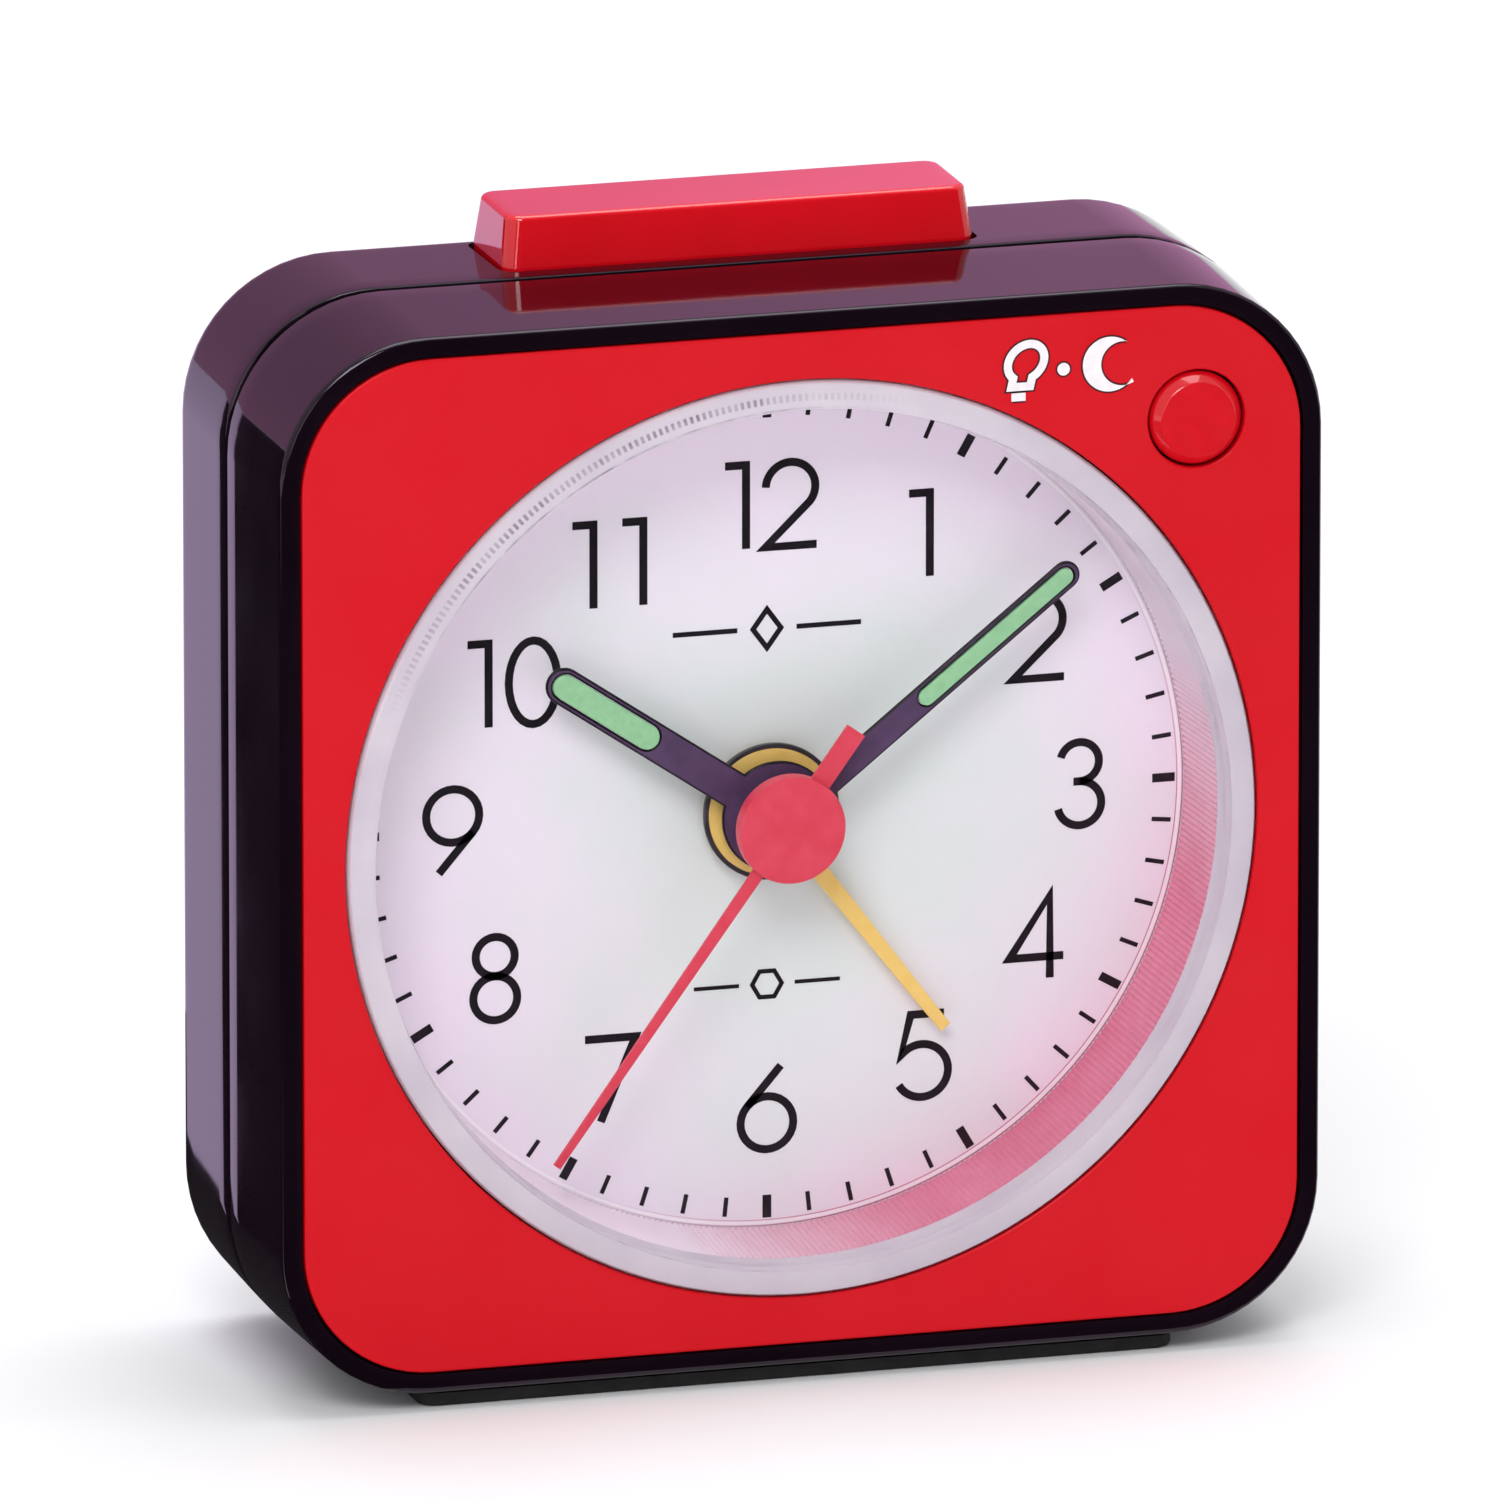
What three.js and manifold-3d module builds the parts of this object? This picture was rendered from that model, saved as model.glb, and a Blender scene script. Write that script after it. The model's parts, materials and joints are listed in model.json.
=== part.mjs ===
// Travel alarm clock: a small square quartz clock with a red front panel, a round dial behind a clear
// crystal, a snooze bar on top, a round light button on the front, and its setting knobs, alarm switch
// and battery door on the back.
//
// Everything is drawn about the clock's own axis, the line through the hands: x to the right, y back
// from the face of the front panel (called depth below) and z up. The last lines stand the clock on
// the ground, with the origin in the middle of its footprint.

import * as THREE from 'three';
import { mergeVertices } from 'three/addons/utils/BufferGeometryUtils.js';
import Module from 'manifold-3d';

const wasm = await Module();
wasm.setup();

// ---------------------------------------------------------------- driving dimensions, millimetres

// Case
const BODY_WIDTH = 60;
const BODY_HEIGHT = 60.4;
const BODY_CORNER = 8.7;
const BODY_DEPTH = 22;
const WALL = 1.6;
const FRONT_EDGE = 0.7;
const REAR_EDGE = 2.4;
const SEAM_DEPTH = 10.2;
const SEAM_GAP = 0.3;
const TONGUE_LENGTH = 1.8;
const TONGUE_WALL = 1;
const SLIDING_GAP = 0.25;
const FIT_GAP = 0.1;
const OVERLAP = 0.1;
const FOOT_HEIGHT = 0.8;
const FOOT_WIDTH = 43.4;
const FOOT_FRONT = [0.9, 9.4];
const FOOT_REAR = [11.4, 19.9];

// Front panel, crystal, dial
const PANEL_WIDTH = 57;
const PANEL_HEIGHT = 57.5;
const PANEL_CORNER = 7.3;
const PANEL_THICKNESS = 1.4;
const LEDGE_FRONT = 1.5;
const LEDGE_BACK = 3;
const CRYSTAL_RADIUS = 26;
const CRYSTAL_PROUD = 0.5;
const CRYSTAL_WALL = 1.5;
const RING_RADIUS = 25.3;
const RING_INNER_FRONT = 24.7;
const RING_INNER_BACK = 24.2;
const DIAL_FRONT = 7.2;
const DIAL_THICKNESS = 0.6;
const DIAL_HOLE = 2.5;
const RING_WALL_OUTER = 26.8;
const RING_WALL_BACK = 8.5;

// Light button
const LIGHT_X = 22.5;
const LIGHT_Z = 22.3;
const LIGHT_RADIUS = 2.65;
const LIGHT_PROUD = 0.45;
const LIGHT_STEM = 1.2;
const LIGHT_STEM_END = 6;
const LIGHT_TRAVEL = 0.5;
const LEAF_DEPTH = LIGHT_STEM_END + LIGHT_TRAVEL + 0.1;
const LEAF_REACH = 4.2;
const LEAF_THICKNESS = 0.3;
const LAMP_X = 14.5;
const LAMP_Z = 24.6;

// Snooze bar
const BAR_WIDTH = 27;
const BAR_DEPTH = 7.3;
const BAR_HEIGHT = 2.9;
const BAR_TOP_SCALE = 0.975;
const BAR_MIDDLE = 15.95;
const BAR_TRAVEL = 1;
const FLANGE_WIDTH = 29.2;
const FLANGE_DEPTH = 8.4;
const FLANGE_HEIGHT = 0.8;
const BAR_SPRING_X = 10;
const BAR_SPRING_LENGTH = 3.7;
const BAR_SPRING_RADIUS = 1.3;
const BAR_SPRING_WIRE = 0.22;
const BAR_POST_LENGTH = 4.2;
const BAR_POST_WIDTH = 2.4;

// Back of the case
const KNOB_RADIUS = 5.2;
const KNOB_HEIGHT = 1.4;
const KNOB_GAP = 0.3;
const KNOB_RIBS = 16;
const KNOB_BORE = 0.7;
const KNOB_STEM = 1.3;
const KNOB_STEM_HOLE = 1.6;
const ARBOR_END_RADIUS = 0.6;
const SWITCH_X = 9.5;
const SWITCH_Z = 16.5;
const SWITCH_TRAVEL = 3;
const SWITCH_WIDTH = 3.4;
const SWITCH_HEIGHT = 2.2;
const SWITCH_PROUD = 0.8;
const SLIDER_WIDTH = 6.4;
const SLIDER_HEIGHT = 4.4;
const SLIDER_BACK = 20.1;
const DOOR_WIDTH = 50;
const DOOR_HEIGHT = 11.2;
const GRIP_HEIGHT = 6;
const GRIP_WIDTH = 0.7;
const GRIP_PITCH = 1.4;

// Buzzer, behind a grille of slots in the back wall
const BUZZER_X = -12;
const BUZZER_Z = 17.8;
const BUZZER_RADIUS = 4.6;
const BUZZER_LAYER = [19.3, 20.3];
const GRILLE_WIDTH = 6;
const GRILLE_SLOT = 0.8;
const GRILLE_PITCH = 1.6;

// Battery: one R03 (AAA) cell
const CELL_LENGTH = 44.5;
const CELL_RADIUS = 5.25;
const CELL_LEFT = -21;
const CELL_Z = -22.4;
const CELL_DEPTH = 14.6;
const NUB_RADIUS = 1.9;
const NUB_HEIGHT = 0.8;
const SPRING_LEFT = -26.2;

// Tray round the battery: a wall above it and one at each end. The end on the left stops short, because
// the case's corner rounds off below it.
const TRAY_FRONT = 12;
const TRAY_HALF_WIDTH = 27.6;
const TRAY_TOP = [6, 6.8];
const TRAY_ENDS = [
  { across: [-27.6, -26.6], drop: 3.5 },
  { across: [24.3, 25.3], drop: 6 },
];

// Screws that hold the two halves of the case together
const CASE_SCREWS = [[-25.2, 17], [25.2, 17], [-25.2, -13], [25.2, -13]];
const SCREW_HEAD = 1.7;
const SCREW_HEAD_HEIGHT = 1.2;
const SCREW_SHANK = 0.9;
const SCREW_HOLE = 1.2;
const SCREW_TIP = 4.6;
const FRONT_BOSS = { radius: 1.8, back: 9 };
const REAR_BOSS = { radius: 2.4, front: 9.3 };

// Movement plates and the screws that hold them
const PLATE_HALF_WIDTH = 17.8;
const PLATE_BOTTOM = -14;
const PLATE_TOP = 19.5;
const FRONT_PLATE = [11.7, 12.5];
const BACK_PLATE = [16.6, 17.4];
const PILLARS = [[-16, 17.6], [16, -12.2], [16, 17.6], [-16, -12.2]];
const PLATE_SCREWS = PILLARS.slice(0, 2);
const EARS = [[-24.4, 12.5], [24.4, 12.5], [-25.8, -8], [25.8, -8]];
const EAR_WIDTH = 3;
const BOARD = [18.4, 19.2];
const EAR_BOSS = 1.3;
const EAR_SCREW_TIP = 8.6;
const PLATE_SCREW_TIP = 13.8;
const PILLAR_RADIUS = 1.2;
const PIVOT_RADIUS = 0.3;
const PIVOT_HOLE = 0.42;
const KNOB_ARBOR_HOLE = 0.85;
const BOARD_POSTS = [[0, -11], [12, 11]];
const SMALL_SHANK = 0.5;
const SMALL_HOLE = 0.8;
const SMALL_HEAD = 1.1;
const SMALL_HEAD_HEIGHT = 0.6;

// Layers of the wheel train, each [front, back]
const ALARM_LAYER = [8.2, 9];
const HOUR_LAYER = [9.3, 10.1];
const MINUTE_LAYER = [10.4, 11.2];
const CENTER_LAYER = [12.8, 13.4];
const THIRD_LAYER = [13.7, 14.3];
const SECOND_LAYER = [14.6, 15.2];
const INTERMEDIATE_LAYER = [15.5, 16.1];

// Hands: angles are clockwise from twelve, and the time shown is 10:08:36
const HOUR_ANGLE = 304.3;
const MINUTE_ANGLE = 51.6;
const SECOND_ANGLE = 216;
const ALARM_ANGLE = 142.6;
const HAND_THICKNESS = 0.3;
const LUME_PROUD = 0.05;
const ALARM_HAND_FRONT = 6.2;
const HOUR_HAND_FRONT = 5.1;
const MINUTE_HAND_FRONT = 3.9;
const SECOND_HAND_FRONT = 2.6;
const SECOND_HUB_FRONT = 1.95;
const ARBOR_RADIUS = 0.4;
const CANNON_TUBE = [0.6, 1];
const HOUR_TUBE = [1.2, 1.6];
const ALARM_TUBE = [1.8, 2.2];

// Blades, each from its start to its end along the hand, and the windows cut in them for the lume
const HOUR_BLADE = { hub: 2.9, end: 14.75, halfWidth: 1.05 };
const HOUR_WINDOW = { start: 9, end: 14.7, halfWidth: 0.72 };
const MINUTE_BLADE = { hub: 2.4, end: 20.7, halfWidth: 0.8 };
const MINUTE_WINDOW = { start: 10.5, end: 20.6, halfWidth: 0.5 };
const ALARM_BLADE = { hub: 3.84, end: 16.1, halfWidth: 0.45 };
const LUME_GAP = 0.05;
const SECOND_HUB = 3.05;
const SECOND_TIP = { end: 22.45, halfWidth: 0.25 };
const SECOND_TAIL = { end: 5.9, halfWidth: 0.6 };

// Segments round a circle
const LARGE = 48;
const MEDIUM = 16;
const SMALL = 8;
const TINY = 6;

const DEGREE = Math.PI / 180;
const TURN = 2 * Math.PI;

// ---------------------------------------------------------------- solids

// A closed three.js geometry as a solid, with its faces pointing out.
function solid(geometry) {
  const bare = new THREE.BufferGeometry();
  bare.setAttribute('position', geometry.getAttribute('position'));
  bare.setIndex(geometry.index);
  const merged = mergeVertices(bare, 1e-4);
  const position = merged.getAttribute('position');
  const corners = [0, 1, 2].map(() => new THREE.Vector3());
  const triangles = [];
  let volume = 0;
  for (let i = 0; i < merged.index.count; i += 3) {
    const [a, b, c] = [0, 1, 2].map((k) => merged.index.getX(i + k));
    if (a === b || b === c || c === a) continue;
    triangles.push([a, b, c]);
    [a, b, c].forEach((vertex, k) => corners[k].fromBufferAttribute(position, vertex));
    volume += corners[0].dot(corners[1].cross(corners[2]));
  }
  if (volume < 0) triangles.forEach((triangle) => triangle.reverse());
  const vertProperties = new Float32Array(position.array);
  const triVerts = new Uint32Array(triangles.flat());
  return new wasm.Manifold(new wasm.Mesh({ numProp: 3, vertProperties, triVerts }));
}

function join(...solids) {
  return solids.reduce((whole, part) => whole.add(part));
}

function cut(whole, ...tools) {
  return tools.reduce((rest, tool) => rest.subtract(tool), whole);
}

// ---------------------------------------------------------------- outlines, seen from the front

function circle(radius, segments, x = 0, z = 0) {
  const points = [];
  for (let i = 0; i < segments; i++) {
    const angle = (i / segments) * TURN;
    points.push(new THREE.Vector2(x + radius * Math.sin(angle), z + radius * Math.cos(angle)));
  }
  return points;
}

const outlineOf = (points) => points.map(([x, z]) => new THREE.Vector2(x, z));

function rectangle(left, right, bottom, top) {
  return outlineOf([[left, bottom], [right, bottom], [right, top], [left, top]]);
}

function roundedRectangle(width, height, radius, steps = 4, x = 0, z = 0) {
  const points = [];
  const signs = [[1, 1], [-1, 1], [-1, -1], [1, -1]];
  signs.forEach(([sx, sz], corner) => {
    for (let i = 0; i <= steps; i++) {
      const angle = (corner + i / steps) * 90 * DEGREE;
      const cx = x + sx * (width / 2 - radius);
      const cz = z + sz * (height / 2 - radius);
      points.push(new THREE.Vector2(cx + radius * Math.cos(angle), cz + radius * Math.sin(angle)));
    }
  });
  return points;
}

// A straight bar with round ends that runs from start to end along a clock angle.
function roundedBar(start, end, halfWidth, clockAngle, steps = 5) {
  const along = new THREE.Vector2(Math.sin(clockAngle), Math.cos(clockAngle));
  const across = new THREE.Vector2(along.y, -along.x);
  const points = [];
  [[end, 1], [start, -1]].forEach(([reach, side]) => {
    for (let i = 0; i <= steps; i++) {
      const turn = (i / steps) * Math.PI;
      const forward = reach + side * halfWidth * Math.sin(turn);
      const sideways = side * halfWidth * Math.cos(turn);
      points.push(along.clone().multiplyScalar(forward).addScaledVector(across, sideways));
    }
  });
  return points;
}

// A gear: `toward` is the clock angle of the line of centres, where a tooth or, with `gap`, a gap lies.
function gear(teeth, module, toward, gap, [x, z]) {
  const pitchRadius = (module * teeth) / 2;
  const tip = pitchRadius + 0.6 * module;
  const root = pitchRadius - 1.1 * module;
  const pitch = TURN / teeth;
  const flank = [[tip, -0.07], [tip, 0.07], [root, 0.5]];
  const points = [];
  for (let i = 0; i < teeth; i++) {
    const middle = toward + (i + (gap ? 0.5 : 0)) * pitch;
    flank.forEach(([radius, share]) => {
      const angle = middle + share * pitch;
      points.push(new THREE.Vector2(x + radius * Math.sin(angle), z + radius * Math.cos(angle)));
    });
  }
  return points;
}

// ---------------------------------------------------------------- basic forms

// A flat piece of a given outline between two depths, with holes right through it.
function plate(outline, [front, back], holes = []) {
  const geometry = new THREE.ExtrudeGeometry(new THREE.Shape(outline), {
    depth: back - front,
    bevelEnabled: false,
  });
  geometry.rotateX(Math.PI / 2);
  geometry.translate(0, back, 0);
  return cut(solid(geometry), ...holes.map((hole) => plate(hole, [front - 1, back + 1])));
}

// The same, with both rims rounded off by `edge`.
function roundedPlate(outline, [front, back], edge) {
  const geometry = new THREE.ExtrudeGeometry(new THREE.Shape(outline), {
    depth: back - front - 2 * edge,
    bevelThickness: edge,
    bevelSize: edge,
    bevelOffset: -edge,
    bevelSegments: 2,
  });
  geometry.rotateX(Math.PI / 2);
  geometry.translate(0, back - edge, 0);
  return solid(geometry);
}

// A turned piece about an axis that runs back through (x, z): the profile is a list of [radius, depth].
function turned(profile, segments, x = 0, z = 0) {
  const geometry = new THREE.LatheGeometry(outlineOf(profile), segments);
  geometry.translate(x, 0, z);
  return solid(geometry);
}

function rod(radius, [front, back], segments, x = 0, z = 0) {
  return turned([[0, front], [radius, front], [radius, back], [0, back]], segments, x, z);
}

function tube([inner, outer], [front, back], segments, x = 0, z = 0) {
  const profile = [[inner, front], [outer, front], [outer, back], [inner, back], [inner, front]];
  return turned(profile, segments, x, z);
}

// A turned piece about an axis that runs to the right through (depth, z): the profile is [radius, x].
function turnedAlongX(profile, segments, depth, z) {
  const geometry = new THREE.LatheGeometry(outlineOf(profile), segments);
  geometry.rotateZ(-Math.PI / 2);
  geometry.translate(0, depth, z);
  return solid(geometry);
}

function block([left, right], [front, back], [bottom, top]) {
  const geometry = new THREE.BoxGeometry(right - left, back - front, top - bottom);
  geometry.translate((left + right) / 2, (front + back) / 2, (bottom + top) / 2);
  return solid(geometry);
}

// Round wire that follows a curve.
function wire(curve, radius, steps) {
  const section = new THREE.Shape(circle(radius, 5));
  return solid(new THREE.ExtrudeGeometry(section, { steps, extrudePath: curve, bevelEnabled: false }));
}

class Helix extends THREE.Curve {
  constructor(radius, length, turns, place) {
    super();
    Object.assign(this, { radius, length, turns, place });
  }

  getPoint(t, target = new THREE.Vector3()) {
    const angle = t * this.turns * TURN;
    const [across, back] = [this.radius * Math.cos(angle), this.radius * Math.sin(angle)];
    return target.copy(this.place(across, back, t * this.length));
  }
}

// ---------------------------------------------------------------- materials and the assembly

const clock = new THREE.Group();

function add(name, piece, { color, roughness = 0.5, metalness = 0, opacity = 1 }) {
  const { vertProperties, triVerts } = piece.getMesh();
  const geometry = new THREE.BufferGeometry();
  geometry.setAttribute('position', new THREE.BufferAttribute(vertProperties, 3));
  geometry.setIndex(new THREE.BufferAttribute(triVerts, 1));
  geometry.computeVertexNormals();
  const material = new THREE.MeshStandardMaterial({ color, roughness, metalness, opacity });
  material.transparent = opacity < 1;
  const mesh = new THREE.Mesh(geometry, material);
  mesh.name = name;
  clock.add(mesh);
}

const CASE_BLACK = { color: 0x1b141d, roughness: 0.12 };
const PANEL_RED = { color: 0xda222c, roughness: 0.25 };
const CLEAR = { color: 0xf6f2f6, roughness: 0.05, opacity: 0.25 };
const DIAL_WHITE = { color: 0xdcd6dd, roughness: 0.5 };
const RING_PINK = { color: 0xd7a5b5, roughness: 0.35 };
const BAR_RED = { color: 0xd61a23, roughness: 0.08, opacity: 0.8 };
const BLACK_RUBBER = { color: 0x141214, roughness: 0.8 };
const BLACK_PLASTIC = { color: 0x1c1a1d, roughness: 0.4 };
const WHITE_PLASTIC = { color: 0xe9e6de, roughness: 0.5 };
const YELLOW_BRASS = { color: 0xc8a14b, roughness: 0.3, metalness: 1 };
const STEEL = { color: 0xb4b6ba, roughness: 0.3, metalness: 1 };
const COPPER = { color: 0xb4622f, roughness: 0.35, metalness: 1 };
const IRON = { color: 0x6f7175, roughness: 0.5, metalness: 1 };
const BOARD_GREEN = { color: 0x1f6b3a, roughness: 0.5 };
const HAND_BLACK = { color: 0x241a27, roughness: 0.3 };
const LUME = { color: 0x94cc9a, roughness: 0.6 };
const HAND_YELLOW = { color: 0xf3c76d, roughness: 0.4 };
const HAND_RED = { color: 0xe0445c, roughness: 0.35 };

// ---------------------------------------------------------------- case

const HALF_HEIGHT = BODY_HEIGHT / 2;
const BODY_OUTLINE = roundedRectangle(BODY_WIDTH, BODY_HEIGHT, BODY_CORNER);
const insetOutline = (inset) =>
  roundedRectangle(BODY_WIDTH - 2 * inset, BODY_HEIGHT - 2 * inset, BODY_CORNER - inset);

const REAR_START = SEAM_DEPTH + SEAM_GAP;
const BACK_WALL_INNER = BODY_DEPTH - WALL;
const EVERYWHERE = [-BODY_WIDTH, BODY_WIDTH];

function frontBezel() {
  const outer = roundedPlate(BODY_OUTLINE, [0, BODY_DEPTH], FRONT_EDGE);
  const behindSeam = block(EVERYWHERE, [SEAM_DEPTH, BODY_DEPTH + 1], EVERYWHERE);
  const recess = roundedRectangle(PANEL_WIDTH + 0.3, PANEL_HEIGHT + 0.3, PANEL_CORNER + 0.15);
  const shell = cut(
    outer,
    behindSeam,
    plate(recess, [-1, LEDGE_FRONT]),
    plate(insetOutline(WALL), [LEDGE_BACK, BODY_DEPTH]),
  );
  const ringWall = plate(circle(RING_WALL_OUTER, LARGE), [LEDGE_BACK - OVERLAP, RING_WALL_BACK]);
  const root = LEDGE_BACK - OVERLAP;
  const bossBack = FRONT_BOSS.back;
  const screwBosses = CASE_SCREWS.map(([x, z]) => rod(FRONT_BOSS.radius, [root, bossBack], SMALL, x, z));
  const earBosses = EARS.map(([x, z]) => rod(EAR_BOSS, [root, FRONT_PLATE[0] - FIT_GAP], SMALL, x, z));
  const leafPost = rod(1, [root, LEAF_DEPTH], SMALL, LIGHT_X - LEAF_REACH, LIGHT_Z);
  return cut(
    join(shell, ringWall, ...screwBosses, ...earBosses, leafPost),
    rod(RING_RADIUS + 0.3, [-1, RING_WALL_BACK + 1], LARGE),
    rod(LIGHT_STEM + SLIDING_GAP, [-1, LEDGE_BACK + 1], MEDIUM, LIGHT_X, LIGHT_Z),
    ...CASE_SCREWS.map(([x, z]) => rod(SCREW_HOLE, [SCREW_TIP - 0.6, bossBack + 1], SMALL, x, z)),
    ...EARS.map(([x, z]) => rod(SMALL_HOLE, [EAR_SCREW_TIP - 0.4, FRONT_PLATE[1]], TINY, x, z)),
  );
}

function frontPanel() {
  const outline = roundedRectangle(PANEL_WIDTH, PANEL_HEIGHT, PANEL_CORNER);
  return plate(outline, [0, PANEL_THICKNESS], [
    circle(CRYSTAL_RADIUS + 0.15, LARGE),
    circle(LIGHT_RADIUS + SLIDING_GAP, MEDIUM, LIGHT_X, LIGHT_Z),
  ]);
}

// A clear cap with a thick bevelled rim and a slightly domed window.
function crystal() {
  const window = CRYSTAL_RADIUS - CRYSTAL_WALL;
  return turned([
    [0, -CRYSTAL_PROUD],
    [window, -CRYSTAL_PROUD + 0.1],
    [CRYSTAL_RADIUS - 0.4, -0.2],
    [CRYSTAL_RADIUS, 0.2],
    [CRYSTAL_RADIUS, LEDGE_FRONT - FIT_GAP],
    [window, LEDGE_FRONT - FIT_GAP],
    [window - 0.3, 0.7],
    [0, 0.6],
  ], LARGE);
}

function dial() {
  const layer = [DIAL_FRONT, DIAL_FRONT + DIAL_THICKNESS];
  return plate(circle(RING_RADIUS, LARGE), layer, [circle(DIAL_HOLE, MEDIUM)]);
}

function dialRing() {
  return turned([
    [RING_INNER_FRONT, LEDGE_FRONT + FIT_GAP],
    [RING_RADIUS, LEDGE_FRONT + FIT_GAP],
    [RING_RADIUS, DIAL_FRONT - FIT_GAP],
    [RING_INNER_BACK, DIAL_FRONT - FIT_GAP],
    [RING_INNER_FRONT, LEDGE_FRONT + FIT_GAP],
  ], LARGE);
}

function rearShell() {
  const outer = roundedPlate(BODY_OUTLINE, [0, BODY_DEPTH], REAR_EDGE);
  const shell = cut(
    outer,
    block(EVERYWHERE, [-1, REAR_START], EVERYWHERE),
    plate(insetOutline(WALL), [0, BACK_WALL_INNER]),
  );
  const tongueHole = insetOutline(WALL + 0.15 + TONGUE_WALL);
  const tongueOutline = insetOutline(WALL + 0.15);
  const tongue = plate(tongueOutline, [REAR_START - TONGUE_LENGTH, REAR_START + OVERLAP], [tongueHole]);
  const tongueRoot = plate(insetOutline(WALL - 0.1), [REAR_START, REAR_START + 1], [tongueHole]);
  const root = BACK_WALL_INNER + OVERLAP;
  const bosses = CASE_SCREWS.map(([x, z]) => rod(REAR_BOSS.radius, [REAR_BOSS.front, root], SMALL, x, z));
  const trayHeight = TRAY_TOP.map((z) => CELL_Z + z);
  const trayTop = block([-TRAY_HALF_WIDTH, TRAY_HALF_WIDTH], [TRAY_FRONT, root], trayHeight);
  const trayEnds = TRAY_ENDS.map(({ across, drop }) =>
    block(across, [TRAY_FRONT, root], [CELL_Z - drop, trayHeight[0] + OVERLAP]));
  const springSeats = [-1, 1].map((side) => {
    const middle = BAR_SPRING_X * side;
    return block([middle - 1.8, middle + 1.8], [13, root], [SPRING_SEAT_Z - 1, SPRING_SEAT_Z]);
  });
  const throughWall = [BACK_WALL_INNER - 0.2, BODY_DEPTH + 1];
  const grille = [-2, -1, 0, 1, 2].map((row) => {
    const z = BUZZER_Z + row * GRILLE_PITCH;
    const across = [BUZZER_X - GRILLE_WIDTH / 2, BUZZER_X + GRILLE_WIDTH / 2];
    return block(across, throughWall, [z - GRILLE_SLOT / 2, z + GRILLE_SLOT / 2]);
  });
  const switchReach = (SWITCH_WIDTH + SWITCH_TRAVEL) / 2 + SLIDING_GAP;
  const switchRise = SWITCH_HEIGHT / 2 + SLIDING_GAP;
  const barReach = BAR_WIDTH / 2 + SLIDING_GAP;
  const barHalfDepth = BAR_DEPTH / 2 + SLIDING_GAP;
  return cut(
    join(shell, tongue, tongueRoot, ...bosses, trayTop, ...trayEnds, ...springSeats),
    block(
      [-barReach, barReach],
      [BAR_MIDDLE - barHalfDepth, BAR_MIDDLE + barHalfDepth],
      [HALF_HEIGHT - WALL - 0.5, HALF_HEIGHT + 1],
    ),
    block(
      [-DOOR_WIDTH / 2, DOOR_WIDTH / 2],
      throughWall,
      [CELL_Z - DOOR_HEIGHT / 2, CELL_Z + DOOR_HEIGHT / 2],
    ),
    block(
      [SWITCH_X - switchReach, SWITCH_X + switchReach],
      throughWall,
      [SWITCH_Z - switchRise, SWITCH_Z + switchRise],
    ),
    ...grille,
    ...KNOB_AXES.map(([x, z]) => rod(KNOB_STEM_HOLE, throughWall, MEDIUM, x, z)),
    ...CASE_SCREWS.map(([x, z]) => rod(SCREW_HOLE, [REAR_BOSS.front - 1, BODY_DEPTH], SMALL, x, z)),
    ...CASE_SCREWS.map(([x, z]) => rod(SCREW_HEAD + 0.3, [root, BODY_DEPTH + 1], MEDIUM, x, z)),
  );
}

function foot([front, back]) {
  const geometry = new THREE.ExtrudeGeometry(
    new THREE.Shape(roundedRectangle(FOOT_WIDTH, back - front, 1, 3, 0, (front + back) / 2)),
    { depth: FOOT_HEIGHT - 0.02, bevelEnabled: false },
  );
  geometry.translate(0, 0, -HALF_HEIGHT - FOOT_HEIGHT);
  return solid(geometry);
}

function batteryDoor() {
  const halfWidth = DOOR_WIDTH / 2 - SLIDING_GAP;
  const halfHeight = DOOR_HEIGHT / 2 - SLIDING_GAP;
  const height = [CELL_Z - halfHeight, CELL_Z + halfHeight];
  const panel = block([-halfWidth, halfWidth], [BACK_WALL_INNER, BODY_DEPTH], height);
  const gripHeight = [CELL_Z - GRIP_HEIGHT / 2, CELL_Z + GRIP_HEIGHT / 2];
  const grips = [-1, 0, 1].map((row) => {
    const x = halfWidth - 4 + row * GRIP_PITCH;
    return block([x - GRIP_WIDTH / 2, x + GRIP_WIDTH / 2], [BODY_DEPTH - 0.4, BODY_DEPTH + 1], gripHeight);
  });
  return cut(panel, ...grips);
}

// A screw whose head lies at depth `head` and whose tip points forward.
function screw([x, z], headRadius, headHeight, shankRadius, head, tip) {
  const body = turned([
    [0, head + headHeight],
    [headRadius, head + headHeight],
    [headRadius, head],
    [shankRadius, head],
    [shankRadius, tip + 0.8],
    [0.2, tip],
    [0, tip],
  ], SMALL, x, z);
  const slotDepth = [head + headHeight / 2, head + headHeight + 1];
  const slot = block([x - headRadius, x + headRadius], slotDepth, [z - 0.16, z + 0.16]);
  return cut(body, slot);
}

// ---------------------------------------------------------------- wheel train: places and gear pairs

function polar(distance, clockAngle, [x, z] = [0, 0]) {
  return [x + distance * Math.sin(clockAngle), z + distance * Math.cos(clockAngle)];
}

// Each pair: the wheel's and the pinion's teeth, and the module that fits them to their centres.
const CENTER_PAIR = { wheel: 48, pinion: 6, module: 0.34 };
const THIRD_PAIR = { wheel: 45, pinion: 6, module: 0.36 };
const SECOND_PAIR = { wheel: 36, pinion: 6, module: 0.45 };
const INTERMEDIATE_PAIR = { wheel: 30, pinion: 6, module: 0.34 };
const MINUTE_PAIR = { wheel: 36, pinion: 12, module: 0.4 };
const HOUR_PAIR = { wheel: 40, pinion: 10, module: 0.384 };
const ALARM_PAIR = { wheel: 40, pinion: 16, module: 0.35 };

const centres = ({ wheel, pinion, module }) => (module * (wheel + pinion)) / 2;

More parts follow.
